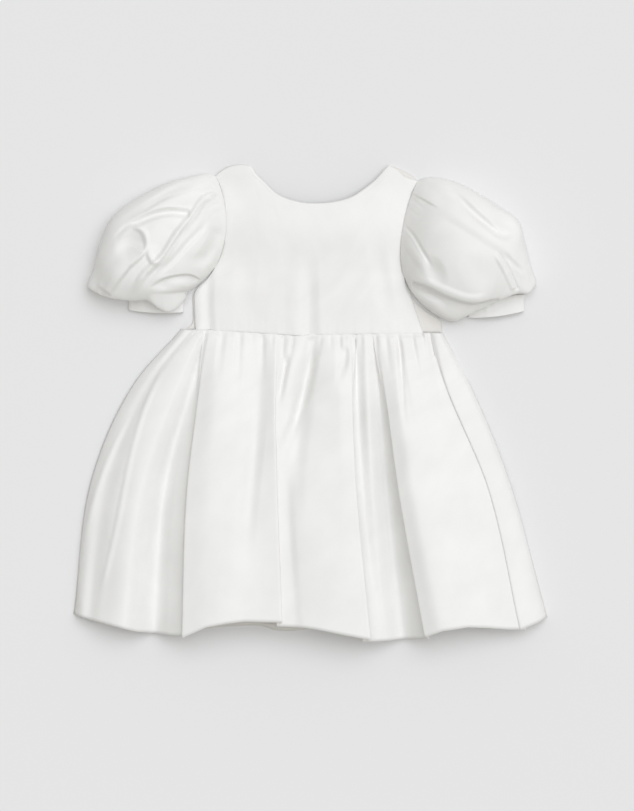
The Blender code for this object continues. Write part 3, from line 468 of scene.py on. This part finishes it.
def fold_lift(x, y, folds, dents):
    """How far the folds and dents lift the cloth at each place."""
    total = np.zeros(x.shape)
    for dent in dents:
        cosine, sine = math.cos(math.radians(dent.turn)), math.sin(math.radians(dent.turn))
        right, up = x - dent.place[0], y - dent.place[1]
        across = (right * cosine + up * sine) / (1.6 * dent.radii[0])
        along = (up * cosine - right * sine) / (1.6 * dent.radii[1])
        total += dent.lift * bump(np.hypot(across, along), 1.0)
    for fold in folds:
        path = spline(fold.path, np.linspace(0, 1, FOLD_STEPS + 1))
        gap = np.full(x.shape, 1e9)
        side = np.zeros(x.shape)
        place = np.zeros(x.shape)
        for index, (start, step) in enumerate(zip(path[:-1], np.diff(path, axis=0))):
            right = x - start[0]
            up = y - start[1]
            share = np.clip((right * step[0] + up * step[1]) / (step @ step), 0.0, 1.0)
            here = np.hypot(right - share * step[0], up - share * step[1])
            nearer = here < gap
            gap = np.where(nearer, here, gap)
            side = np.where(nearer, np.sign(step[0] * up - step[1] * right), side)
            place = np.where(nearer, (index + share) / FOLD_STEPS, place)
        reach = bump(gap, fold.half_width)
        if fold.edge:
            reach = np.where(side * fold.edge > 0, reach, 1 - ease(gap, 0.0, fold.drop))
        fade_in, fade_out = fold.fades
        total += fold.lift * reach * ease(place, 0.0, fade_in) * (1 - ease(place, 1 - fade_out, 1.0))
    return total


# Materials


def fill(tree, node, values):
    """Sets inputs of a node, or links them where the value is another node's output."""
    for name, value in values.items():
        if isinstance(value, bpy.types.NodeSocket):
            tree.links.new(value, node.inputs[name])
        else:
            node.inputs[name].default_value = value


def add_node(tree, kind, values=None, **settings):
    made = tree.nodes.new("ShaderNode" + kind)
    for name, setting in settings.items():
        setattr(made, name, setting)
    fill(tree, made, values or {})
    return made


def ranged(tree, value, target, source=(0.0, 1.0)):
    """A value mapped from its source range to the target range."""
    limits = {"From Min": source[0], "From Max": source[1], "To Min": target[0], "To Max": target[1]}
    return add_node(tree, "MapRange", {"Value": value, **limits}).outputs["Result"]


def weave_group():
    """Threads of the satin: long floats along one way, a fine cross thread and a slight cloudiness."""
    group = bpy.data.node_groups.new("satin_weave", "ShaderNodeTree")
    for name, way, kind in (
        ("Cloth Place", "INPUT", "Vector"),
        ("Colour", "INPUT", "Color"),
        ("Cloudiness", "INPUT", "Float"),
        ("Smoothness", "INPUT", "Float"),
        ("Colour", "OUTPUT", "Color"),
        ("Roughness", "OUTPUT", "Float"),
        ("Height", "OUTPUT", "Float"),
    ):
        group.interface.new_socket(name, in_out=way, socket_type="NodeSocket" + kind)
    given = group.nodes.new("NodeGroupInput").outputs
    made = group.nodes.new("NodeGroupOutput")

    def noise(stretch, detail):
        mapping = add_node(group, "Mapping", {"Scale": stretch, "Vector": given["Cloth Place"]})
        values = {"Scale": 1.0, "Detail": detail, "Vector": mapping.outputs["Vector"]}
        return add_node(group, "TexNoise", values).outputs["Fac"]

    def sum_of(first, second, share=1.0):
        return add_node(group, "Math", {0: second, 1: share, 2: first}, operation="MULTIPLY_ADD").outputs[0]

    floats = noise(FLOAT_STRETCH, 2.0)
    cross = noise(CROSS_STRETCH, 1.0)
    clouds = noise(CLOUD_STRETCH, 3.0)
    tone = ranged(group, clouds, CLOUD_TONES, (0.25, 0.75))
    values = {"Factor": given["Cloudiness"], "A": given["Colour"], "B": tone}
    shade = add_node(group, "Mix", values, data_type="RGBA", blend_type="MULTIPLY")
    gloss = ranged(group, floats, (-THREAD_GLOSS, THREAD_GLOSS), (0.3, 0.7))
    fill(group, made, {
        "Colour": shade.outputs["Result"],
        "Roughness": sum_of(given["Smoothness"], gloss),
        "Height": sum_of(sum_of(floats, cross, CROSS_SHARE), clouds, CLOUD_SHARE),
    })
    return group


def new_material(name):
    made = bpy.data.materials.new(name)
    made.use_nodes = True
    return made, made.node_tree, made.node_tree.nodes["Principled BSDF"]


def cloth_material(name, group, colour, roughness, thread_height, sheen, gloss=1.45, cloudiness=1.0):
    made, tree, shader = new_material(name)
    weave = add_node(tree, "Group", {
        "Cloth Place": add_node(tree, "UVMap", uv_map="cloth").outputs["UV"],
        "Colour": (*colour, 1.0),
        "Cloudiness": cloudiness,
        "Smoothness": roughness,
    }, node_tree=group)
    threads = {"Height": weave.outputs["Height"], "Distance": thread_height * MM, "Strength": RELIEF}
    fill(tree, shader, {
        "Base Color": weave.outputs["Colour"],
        "Roughness": weave.outputs["Roughness"],
        "Normal": add_node(tree, "Bump", threads).outputs["Normal"],
        "Sheen Weight": sheen,
        "Sheen Roughness": 0.35,
        "IOR": gloss,
    })
    return made


def hard_material(name, colour, roughness, speck):
    """A moulded or enamelled finish, slightly uneven in tone and gloss."""
    made, tree, shader = new_material(name)
    place = add_node(tree, "TexCoord").outputs["Object"]
    specks = add_node(tree, "TexNoise", {"Scale": speck, "Detail": 3.0, "Vector": place}).outputs["Fac"]
    dark = [value * SPECK_TONE for value in colour]
    values = {"Factor": specks, "A": (*dark, 1.0), "B": (*colour, 1.0)}
    ramp = add_node(tree, "Mix", values, data_type="RGBA")
    fill(tree, shader, {
        "Base Color": ramp.outputs["Result"],
        "Roughness": ranged(tree, specks, (roughness - SPECK_GLOSS, roughness + SPECK_GLOSS)),
    })
    return made


# Cloth pieces


def cloth_faces(rows, columns, turned):
    """Quads of a grid, each as four indices of its points."""
    corner = (np.arange(rows - 1)[:, None] * columns + np.arange(columns - 1)).ravel()
    quads = np.stack([corner, corner + 1, corner + columns + 1, corner + columns], axis=1)
    return quads[:, ::-1] if turned else quads


def cloth_places(skin):
    """How far each point lies along its row and down its column, in millimetres on the cloth."""
    across = np.linalg.norm(np.diff(skin, axis=1), axis=2)
    down = np.linalg.norm(np.diff(skin, axis=0), axis=2)
    u = np.concatenate([np.zeros((skin.shape[0], 1)), np.cumsum(across, axis=1)], axis=1)
    v = np.concatenate([np.zeros((1, skin.shape[1])), np.cumsum(down, axis=0)], axis=0)
    return np.stack([u, v], axis=2)


def new_object(name, data):
    made = bpy.data.objects.new(name, data)
    bpy.context.scene.collection.objects.link(made)
    return made


def cloth_piece(name, skin, finishes, closed=False, turned=False, offset=-1.0):
    """A wall of cloth from an open surface of rows, columns and 3. The second finish is its reverse."""
    if closed:
        skin = np.concatenate([skin, skin[:, :1]], axis=1)
    rows, columns = skin.shape[:2]
    quads = cloth_faces(rows, columns, turned)
    mesh = bpy.data.meshes.new(name)
    mesh.from_pydata((skin.reshape(-1, 3) * MM).tolist(), [], quads.tolist())
    layer = mesh.uv_layers.new(name="cloth")
    layer.data.foreach_set("uv", cloth_places(skin).reshape(-1, 2)[quads.ravel()].ravel().astype(np.float32))
    for finish in finishes:
        mesh.materials.append(finish)
    if closed:
        work = bmesh.new()
        work.from_mesh(mesh)
        bmesh.ops.remove_doubles(work, verts=work.verts, dist=1e-7)
        work.to_mesh(mesh)
        work.free()
    made = new_object(name, mesh)
    wall = made.modifiers.new("cloth", "SOLIDIFY")
    wall.thickness = CLOTH * MM
    wall.offset = offset
    wall.material_offset = 1
    apply_modifiers(made)
    made.data.shade_smooth()
    return made


def choose(made):
    bpy.ops.object.select_all(action="DESELECT")
    bpy.context.view_layer.objects.active = made
    made.select_set(True)


def apply_modifiers(made):
    choose(made)
    for modifier in list(made.modifiers):
        bpy.ops.object.modifier_apply(modifier=modifier.name)


def patch(bottom, top, left, right, u, v):
    """Points of the patch between four sides that meet at its corners, as rows of v by columns of u."""
    across = mix(bottom(u)[None], top(u)[None], v[:, None, None])
    upwards = mix(left(v)[:, None], right(v)[:, None], u[None, :, None])
    low = mix(bottom(u[:1])[None], bottom(u[-1:])[None], u[None, :, None])
    high = mix(top(u[:1])[None], top(u[-1:])[None], u[None, :, None])
    return across + upwards - mix(low, high, v[:, None, None])


def joined(parts, shares):
    """One side made of several curves, each over its own share of it."""
    limits = np.cumsum([0.0] + list(shares))

    def side(values):
        values = np.atleast_1d(values)
        index = np.clip(np.searchsorted(limits, values - 1e-9) - 1, 0, len(parts) - 1)
        found = np.zeros((len(values), 2))
        for number, part in enumerate(parts):
            chosen = index == number
            if chosen.any():
                local = (values[chosen] - limits[number]) / (limits[number + 1] - limits[number])
                found[chosen] = part(np.clip(local, 0.0, 1.0))
        return found

    return side


def curve(points):
    return lambda shares: spline(points, shares)


def straight(x, low, high):
    return lambda v: np.stack([np.full(np.shape(v), x), mix(low, high, np.atleast_1d(v))], axis=1)


def from_waist(points, lift):
    """The points, with the first of them moved to the waist seam."""
    x = points[0][0]
    return [(x, waist_y(x) + lift)] + points[1:]


def along_waist(start, end, lift):
    def at(u):
        x = mix(start, end, np.atleast_1d(u))
        return np.stack([x, waist_y(x) + lift], axis=1)

    return at


# Front skirt


def pleat_places(pleat, t):
    """The six points round a doubled edge in each row, from left to right along the cloth."""
    line = station((pleat.waist, pleat.high, pleat.mid, pleat.hem), t)
    half = LAYERS * pleat.layer / 2
    folded = [
        (pleat.overlap - half, -4 * half),
        (pleat.overlap, -3 * half),
        (pleat.overlap - half, -2 * half),
        (half, -2 * half),
        (0.0, -half),
        (half, 0.0),
    ]
    share = ease(t, *PLEAT_FOLDS)[:, None, None]
    shape = np.asarray(PLEAT_STEP)[None] * (1 - share) + np.asarray(folded)[None] * share
    places = line[:, None] + shape * (pleat.side, 1.0)
    hems = [pleat.low_y] * 3 + [pleat.hem_y] * 3
    if pleat.side < 0:
        return places[:, ::-1], hems[::-1]
    return places, hems


def skirt_grid():
    """Place across and height of each point of the front skirt, with its row's place and its column's hem."""
    t = (np.arange(SKIRT_ROWS + 1) / SKIRT_ROWS) ** SKIRT_ROW_POWER
    places, hems, tight = [], [], []
    for row in SKIRT:
        if isinstance(row, Pleat):
            found, ends = pleat_places(row, t)
            places.append(found)
            hems += ends
            tight += [True] * 5 + [False]
        else:
            places.append(station((row.waist, row.high, row.mid, row.hem), t)[:, None])
            hems.append(row.hem_y)
            tight.append(False)
    places = np.concatenate(places, axis=1)
    lengths = np.linalg.norm(np.diff(places, axis=1), axis=2)
    tangents = slopes(places, lengths, long_first=True)
    line, hem = [], []
    for index in range(places.shape[1] - 1):
        count = max(1, math.ceil(lengths[-1, index] / (PLEAT_PITCH if tight[index] else SKIRT_PITCH)))
        for step in range(count):
            share = step / count
            ends = (places[:, index], places[:, index + 1], tangents[:, index], tangents[:, index + 1])
            line.append(hermite(*ends, lengths[:, index, None], share))
            hem.append(mix(hems[index], hems[index + 1], share))
    line.append(places[:, -1])
    hem.append(hems[-1])
    return t, np.stack(line, axis=1), np.array(hem, float)


def bodice_edge(x):
    """Height of the front bodice's lower side along the waist seam."""
    from_middle = np.minimum(np.abs(x - WAIST_MIDDLE) / WAIST_HALF, 1.0)
    return EDGE_LIFT - 0.5 + WAIST_CROWN * (1 - from_middle ** CROWN_POWER)


def skirt_front(finishes):
    t, line, hem = skirt_grid()
    x, z = line[..., 0], line[..., 1]
    seam = x[0]
    top = waist_y(seam) - SEAM / 2
    t = t[:, None]
    y = mix(top, hem, t)
    for gather in GATHERS:
        reach = np.maximum(0.0, 1 - t / gather.length)
        z = z - gather.depth * bump(seam - gather.x, gather.half_width) * reach
    below = top - y
    z = z + SKIRT_PUCKER * puckers(seam, SKIRT_PUCKERS) * np.exp(-below / 4.0) * ease(below, 0.0, 2.0)
    held = 0.75 * near(below, 3.0) * (np.abs(seam - WAIST_MIDDLE) < WAIST_HALF)
    z = z * (1 - held) + (bodice_edge(seam) + CLOTH) * held
    from_side = np.minimum(x - x[:, :1], x[:, -1:] - x)
    z = z - EDGE_TURN * near(from_side, 3.0)
    z = z + fold_lift(x, y, SKIRT_FOLDS, SKIRT_DENTS)
    skin = np.stack([x, y, np.maximum(z, LOWEST_FRONT)], axis=2)
    allowance = skin[:1].copy()
    allowance[..., 1] += SEAM_TURN
    allowance[..., 2] = np.clip(allowance[..., 2] - SKIRT_TUCK, LOWEST_FRONT - 0.4, None)
    skin = np.concatenate([allowance, skin])
    return cloth_piece("skirt_front_cloth", skin, finishes, turned=True, offset=0.0)


# Front bodice


def bodice_side(points, armhole):
    """The side seam of a bodice piece, and its armhole above."""
    halves = [curve(points), lambda v: arc(armhole, 1 - v)]
    return joined(halves, (1 - ARMHOLE_SHARE, ARMHOLE_SHARE))


def bodice_front(finishes):
    u = np.linspace(0, 1, BODICE_COLUMNS + 1)
    v = np.linspace(1, 0, BODICE_ROWS + 1)
    parts = [curve(FRONT_SHOULDER_LEFT), curve(FRONT_NECK), curve(FRONT_SHOULDER_RIGHT)]
    top = joined(parts, (SHOULDER_SHARE, 1 - 2 * SHOULDER_SHARE, SHOULDER_SHARE))
    bottom = along_waist(FRONT_SIDE_LEFT[0][0], FRONT_SIDE_RIGHT[0][0], SEAM / 2)
    sides = bodice_side(FRONT_SIDE_LEFT, LEFT_ARMHOLE), bodice_side(FRONT_SIDE_RIGHT, RIGHT_ARMHOLE)
    place = patch(bottom, top, *sides, u, v)
    x, y = place[..., 0], place[..., 1]
    left_x = np.interp(y, y[::-1, 0], x[::-1, 0])
    right_x = np.interp(y, y[::-1, -1], x[::-1, -1])
    across = np.clip((x - left_x) / (right_x - left_x), 0.0, 1.0)
    fullness = 1 - np.abs(2 * across - 1) ** CROWN_POWER
    low = mix(LEFT_ARMHOLE[2][1], RIGHT_ARMHOLE[2][1], across)
    high = mix(LEFT_ARMHOLE[0][1], RIGHT_ARMHOLE[0][1], across)
    arch = np.sin(math.pi * np.clip((y - low) / (high - low), 0.0, 1.0)) ** 2
    rise = (y - waist_y(x)) / (FRONT_SHOULDER_LEFT[3][1] - waist_y(x))
    crown = mix(WAIST_CROWN, CHEST_CROWN, ease(rise, 0.0, 0.45))
    crown = crown + (NECK_CROWN - CHEST_CROWN) * ease(rise, 0.4, 0.9)
    z = EDGE_LIFT + ARMHOLE_LIFT * arch + crown * fullness
    z = z + fold_lift(x, y, BODICE_FOLDS, BODICE_DENTS)
    above_waist = y - waist_y(x)
    z = z + BODICE_PUCKER * puckers(x, BODICE_PUCKERS) * np.exp(-above_waist / 7.0)
    z = z - 0.5 * near(above_waist, 1.5)
    neck = spline(FRONT_NECK, np.linspace(0, 1, 90))
    to_neck = np.linalg.norm(place[:, :, None] - neck, axis=3).min(axis=2)
    z = z - EDGE_TURN * near(to_neck, 1.2) - STITCH_DEPTH * bump(to_neck - NECK_STITCH, 1.0)
    edge = np.minimum(u, 1 - u)[None] * np.linalg.norm(place[:, -1] - place[:, 0], axis=1)[:, None]
    z = z - (EDGE_TURN - 0.5 * ease(v, 0.3, 0.45)[:, None]) * near(edge, 2.0)
    skin = np.stack([x, y, np.maximum(z, LOWEST_FRONT - 0.45)], axis=2)
    return cloth_piece("bodice_front_cloth", skin, finishes, turned=True, offset=1.0)


# Back of the dress


def flat_panel(name, sides, finishes, waves):
    """A panel with its underside flat on the surface and slight waves on its upper side."""
    rows, columns = PANEL
    place = patch(*sides, np.linspace(0, 1, columns + 1), np.linspace(1, 0, rows + 1))
    skin = np.concatenate([place, np.zeros(place.shape[:2] + (1,))], axis=2)
    made = cloth_piece(name, skin, finishes)
    for vertex in made.data.vertices:
        if vertex.co.z > 0.5 * CLOTH * MM:
            x, y = vertex.co.x / MM, vertex.co.y / MM
            wave = math.sin(x / waves + y / 90) + 0.6 * math.sin(x / (waves * 0.6) - y / 130 + 1.0)
            vertex.co.z += BACK_WAVE * (1.6 + wave) * MM
    return made


def back_pieces(finishes):
    seam_left = CENTRE_BACK - SEAM / 2
    seam_right = CENTRE_BACK + SEAM / 2
    low = -SEAM / 2
    left_edge = from_waist(BACK_LEFT_EDGE, low)
    right_edge = from_waist(BACK_RIGHT_EDGE, low)
    skirt_left = flat_panel("skirt_back_left_cloth", (
        curve(BACK_HEM_LEFT),
        along_waist(left_edge[0][0], seam_left, low),
        lambda v: spline(left_edge, 1 - v),
        straight(seam_left, BACK_HEM_LEFT[-1][1], waist_y(seam_left) + low),
    ), finishes, 13.0)
    skirt_right = flat_panel("skirt_back_right_cloth", (
        curve(BACK_HEM_RIGHT),
        along_waist(seam_right, right_edge[0][0], low),
        straight(seam_right, BACK_HEM_RIGHT[0][1], waist_y(seam_right) + low),
        lambda v: spline(right_edge, 1 - v),
    ), finishes, 12.0)
    shares = (BACK_SHOULDER_SHARE, 1 - BACK_SHOULDER_SHARE)
    bodice_left = flat_panel("bodice_back_left_cloth", (
        along_waist(BACK_SIDE_LEFT[0][0], seam_left, -low),
        joined([curve(BACK_SHOULDER_LEFT), curve(BACK_NECK_LEFT)], shares),
        bodice_side(from_waist(BACK_SIDE_LEFT, -low), LEFT_ARMHOLE),
        straight(seam_left, waist_y(seam_left) - low, BACK_NECK_LEFT[-1][1]),
    ), finishes, 16.0)
    bodice_right = flat_panel("bodice_back_right_cloth", (
        along_waist(seam_right, BACK_SIDE_RIGHT[0][0], -low),
        joined([curve(BACK_NECK_RIGHT), curve(BACK_SHOULDER_RIGHT)], shares[::-1]),
        straight(seam_right, waist_y(seam_right) - low, BACK_NECK_RIGHT[0][1]),
        bodice_side(from_waist(BACK_SIDE_RIGHT, -low), RIGHT_ARMHOLE),
    ), finishes, 17.0)
    return skirt_left, skirt_right, bodice_left, bodice_right


# Sleeves and cuffs


def blended(sections, place):
    """The section at a place along the sleeve, eased between those of the table."""
    index = min(int(place), len(sections) - 2)
    share = place - index
    before = sections[max(index - 1, 0)]
    start = sections[index]
    end = sections[index + 1]
    after = sections[min(index + 2, len(sections) - 1)]
    values = []
    for column in zip(before, start, end, after):
        one, two, three, four = (np.asarray(value, float) for value in column)
        values.append(hermite(two, three, (three - one) / 2, (four - two) / 2, 1.0, share))
    return Section(*values)


def ring(section, top_steps, floor_steps, fullness=1.0):
    """Points round one flattened section, over its top and back below, with how far each has risen."""
    share = 0.5 - 0.5 * np.cos(math.pi * np.arange(top_steps + 1) / top_steps)
    top = arc((section.outer, section.middle, section.inner), share)
    rise = np.maximum(np.sin(math.pi * share), 0.0) ** (section.power * fullness)
    rise[[0, -1]] = 0.0
    back = 0.5 + 0.5 * np.cos(math.pi * np.arange(1, floor_steps) / floor_steps)
    floor = arc((section.outer, section.floor, section.inner), back)
    flat = np.zeros(len(back))
    height = np.append(mix(RING_CORNER, section.height, rise), flat)
    points = np.column_stack([np.concatenate([top, floor]), height])
    return points, np.append(rise, flat), np.append(share, back)


def sleeve(name, sections, folds, dents, pulls, finishes, phase):
    last = len(sections) - 1
    places = np.linspace(0, last, last * SLEEVE_RINGS + 1)
    skin, reach = [], []
    for place in places:
        section = blended(sections, place)
        points, rise, share = ring(section, RING_TOP, RING_FLOOR, SLEEVE_FULLNESS)
        skin.append(points)
        reach.append(ease(rise, 0.0, 0.6) * min(1.0, section.height / CREASED_HEIGHT))
    skin, reach = np.array(skin), np.array(reach)
    lift = SLEEVE_FOLDING * fold_lift(skin[..., 0], skin[..., 1], folds, dents)
    rim = np.maximum(0.0, 1 - np.abs(places - last + 1.6) / 1.6)[:, None]
    uneven = 0.6 + 0.4 * np.sin(share * 9 + phase)
    rim_gathers = uneven * (np.sin(share * 44 + phase) + 0.8 * np.sin(share * 67 + 2.0))
    lift = lift + RIM_GATHER * rim * rim_gathers
    skin[..., 2] = skin[..., 2] + reach * lift
    skin[..., 2] = np.where(reach > 0, np.maximum(skin[..., 2], 1.2), skin[..., 2])
    for pull in pulls:
        along = bump(places - pull.section, pull.sections)[:, None]
        felt = bump(share - pull.share, pull.shares)[None] * along
        skin = skin + (reach > 0)[..., None] * felt[..., None] * pull.shift
    inward = np.sign(sections[0].inner[0])
    allowance = skin[:1].copy()
    allowance[..., 0] -= inward * SEAM_TURN
    height = allowance[..., 2]
    allowance[..., 2] = np.where(height > 0, np.maximum(height - SLEEVE_TUCK, 1.9), 0.0)
    skin = np.concatenate([allowance, skin])
    made = cloth_piece(name, skin, finishes, closed=True, turned=sections[0].outer[0] < 0)
    for vertex in made.data.vertices:
        vertex.co.z = max(vertex.co.z, 0.0)
    return made


def cuff(name, seam, hem, finishes):
    lowered = [(x, y - SEAM) for x, y in (seam.outer, seam.middle, seam.inner, seam.floor)]
    start = Section(*lowered, CUFF_HEIGHT, seam.power)
    rings = []
    for step in range(CUFF_STEPS + 1):
        points, rise, share = ring(blended([start, hem], step / CUFF_STEPS), CUFF_TOP, CUFF_FLOOR)
        fade = 1 - step / CUFF_STEPS
        uneven = 0.35 * fade * np.sin(share * 31 + 2 * np.sin(share * 9)) + 0.45 * np.sin(share * 11 + 1.0)
        points[:, 2] += rise * uneven
        rings.append(points)
    return cloth_piece(name, np.array(rings), finishes, closed=True, turned=hem.outer[0] < 0)


# Zip


def start_piece(name, finish, scale):
    """Names the new object and puts its place and its scale in its mesh."""
    made = bpy.context.active_object
    made.name = name
    made.data.name = name
    made.data.materials.append(finish)
    made.scale = scale
    choose(made)
    bpy.ops.object.transform_apply(location=True, rotation=True, scale=True)
    return made


def box_piece(name, middle, size, cuts, finish):
    """A box whose faces are cut into small ones."""
    bpy.ops.mesh.primitive_cube_add(size=1, location=middle)
    made = start_piece(name, finish, size)
    bpy.ops.object.mode_set(mode="EDIT")
    bpy.ops.mesh.select_all(action="SELECT")
    bpy.ops.mesh.subdivide(number_cuts=cuts)
    bpy.ops.object.mode_set(mode="OBJECT")
    return made


def zip_tape(finish):
    halfway = ZIP_LOW + ZIP_TAPE_THICK / 2
    middle = (CENTRE_BACK * MM, (ZIP_TOP + ZIP_END) / 2 * MM, halfway * MM)
    size = (ZIP_WIDTH * MM, (ZIP_TOP - ZIP_END) * MM, ZIP_TAPE_THICK * MM)
    tape = box_piece("zip_tape_cloth", middle, size, 15, finish)
    for vertex in tape.data.vertices:
        across = abs(vertex.co.x / MM - CENTRE_BACK)
        if vertex.co.z > halfway * MM:
            for rib in ZIP_RIBS:
                vertex.co.z += rib.height * bump(across - rib.place, rib.half_width) * MM
    layer = tape.data.uv_layers.active
    layer.name = "cloth"
    for loop in tape.data.loops:
        place = tape.data.vertices[loop.vertex_index].co
        layer.data[loop.index].uv = (place.x / MM, place.y / MM)
    tape.data.shade_smooth()
    tape.data.set_sharp_from_angle(angle=math.radians(40))
    return tape


def zip_coil(finish):
    """The coil of the zip, as turns that lie side by side along its middle."""
    height = ZIP_LOW + ZIP_TAPE_THICK + COIL_WIRE + COIL_RISE
    bpy.ops.mesh.primitive_torus_add(
        location=(CENTRE_BACK * MM, (ZIP_END + COIL_START) * MM, height * MM),
        rotation=(math.radians(COIL_LEAN), 0, 0),
        major_radius=COIL_RADIUS * MM, minor_radius=COIL_WIRE * MM, major_segments=14, minor_segments=6,
    )
    coil = start_piece("zip_coil", finish, COIL_SHAPE)
    turns = coil.modifiers.new("turns", "ARRAY")
    turns.use_relative_offset = False
    turns.use_constant_offset = True
    turns.constant_offset_displace = (0.0, COIL_PITCH * MM, 0.0)
    turns.count = int((ZIP_TOP - ZIP_END - COIL_SHORT) / COIL_PITCH)
    apply_modifiers(coil)
    coil.data.shade_smooth()
    return coil


def zip_slider(finish):
    """The slider's body, wider where the two rows come apart, with its crown on top."""
    low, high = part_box("zip_slider")
    middle = (low + high) / 2
    half = (high - low) / 2
    slider = box_piece("zip_slider_body", middle, high - low, 5, finish)
    for vertex in slider.data.vertices:
        down = (vertex.co.y - middle.y) / half.y
        up = (vertex.co.z - middle.z) / half.z
        width = mix(SLIDER_WAIST, 1.0, ease(down, -1.0, 1.0))
        vertex.co.x = middle.x + (vertex.co.x - middle.x) * float(width)
        if up > 0:
            crown = float(bump(down, 1.15) * bump((vertex.co.x - middle.x) / half.x, 1.2))
            vertex.co.z = middle.z + up * half.z * float(mix(SLIDER_RIM, 1.0, crown))
    soft = slider.modifiers.new("rounding", "SUBSURF")
    soft.levels = soft.render_levels = 2
    apply_modifiers(slider)
    slider.data.shade_smooth()
    return slider


# Surroundings


def add_camera():
    data = bpy.data.cameras.new("camera")
    data.type = "PERSP"
    data.sensor_width = SENSOR
    data.lens = SENSOR * (CAMERA_HEIGHT - CLOTH_HEIGHT) / (max(PHOTO) * MM)
    data.clip_start = 0.1
    data.clip_end = 20.0
    camera = new_object("camera", data)
    camera.location = (PHOTO_CENTRE[0] * MM, PHOTO_CENTRE[1] * MM, CAMERA_HEIGHT)
    bpy.context.scene.camera = camera


def add_light():
    sun = bpy.data.lights.new("window_light", "SUN")
    sun.energy = SUN_STRENGTH
    sun.color = SUN_COLOUR
    sun.angle = math.radians(SUN_ANGLE)
    lamp = new_object("window_light", sun)
    lamp.rotation_mode = "QUATERNION"
    lamp.rotation_quaternion = Vector(SUN_FROM).to_track_quat("Z", "Y")
    world = bpy.data.worlds.new("studio")
    world.use_nodes = True
    tree = world.node_tree
    side_x, side_y = SKY_BRIGHT_SIDE
    towards = add_node(tree, "VectorMath", {
        0: add_node(tree, "TexCoord").outputs["Generated"],
        1: (side_x * SKY_SLOPE, side_y * SKY_SLOPE, SKY_RISE),
    }, operation="DOT_PRODUCT")
    strength = add_node(tree, "Math", {
        0: towards.outputs["Value"],
        1: SKY_STRENGTH,
        2: SKY_STRENGTH * (1 - SKY_RISE * 2 / 3),
    }, operation="MULTIPLY_ADD")
    fill(tree, tree.nodes["Background"], {"Color": (*SKY_COLOUR, 1.0), "Strength": strength.outputs[0]})
    bpy.context.scene.world = world
    bpy.context.scene.view_settings.view_transform = "Standard"


def add_floor():
    bpy.ops.mesh.primitive_plane_add(size=FLOOR_SIZE, location=(0, 0, FLOOR_PLACE * MM))
    floor = bpy.context.active_object
    floor.name = "floor"
    made, tree, shader = new_material("pale_surface")
    fill(tree, shader, {"Base Color": (*FLOOR_COLOUR, 1.0), "Roughness": 0.9, "Specular IOR Level": 0.1})
    floor.data.materials.append(made)


def declare(piece):
    """Hangs a piece of cloth under the root and hides the imported part that it stands for."""
    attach(piece, "root")
    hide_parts(piece.name.removesuffix("_cloth"))


add_camera()
add_light()
weave = weave_group()
satin = cloth_material("ivory_satin", weave, SATIN, 0.55, 0.05, 0.05, 1.5)
# the reverse's darker, warmer colour is partly painted shade
reverse = cloth_material("satin_reverse_painted_shade", weave, SATIN_REVERSE_PAINTED_SHADE, 0.62, 0.06, 0.05)
tape_weave = cloth_material("zip_tape_weave", weave, TAPE_COLOUR, 0.75, 0.12, 0.0, cloudiness=0.5)
coil_nylon = hard_material("coil_nylon", COIL_COLOUR, 0.38, 900.0)
slider_enamel = hard_material("slider_enamel", SLIDER_COLOUR, 0.3, 600.0)
finishes = (satin, reverse)

front_skirt = skirt_front(finishes)
front_bodice = bodice_front(finishes)
back_skirt_left, back_skirt_right, back_bodice_left, back_bodice_right = back_pieces(finishes)
left_drape = (LEFT_SLEEVE_FOLDS, LEFT_SLEEVE_DENTS, LEFT_SLEEVE_PULLS)
right_drape = (RIGHT_SLEEVE_FOLDS, RIGHT_SLEEVE_DENTS, RIGHT_SLEEVE_PULLS)
left_sleeve = sleeve("sleeve_left_cloth", LEFT_SLEEVE, *left_drape, finishes, 0.4)
right_sleeve = sleeve("sleeve_right_cloth", RIGHT_SLEEVE, *right_drape, finishes, 1.9)
left_cuff = cuff("cuff_left_cloth", LEFT_SLEEVE[-1], LEFT_CUFF_HEM, finishes)
right_cuff = cuff("cuff_right_cloth", RIGHT_SLEEVE[-1], RIGHT_CUFF_HEM, finishes)
tape = zip_tape(tape_weave)
coil = zip_coil(coil_nylon)
slider = zip_slider(slider_enamel)

declare(front_skirt)
declare(front_bodice)
declare(back_skirt_left)
declare(back_skirt_right)
declare(back_bodice_left)
declare(back_bodice_right)
declare(left_sleeve)
declare(right_sleeve)
declare(left_cuff)
declare(right_cuff)
declare(tape)
for piece, slot in ((coil, "zip_tape"), (slider, "zip_slider")):
    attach(piece, "root")
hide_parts("zip_slider")
add_floor()
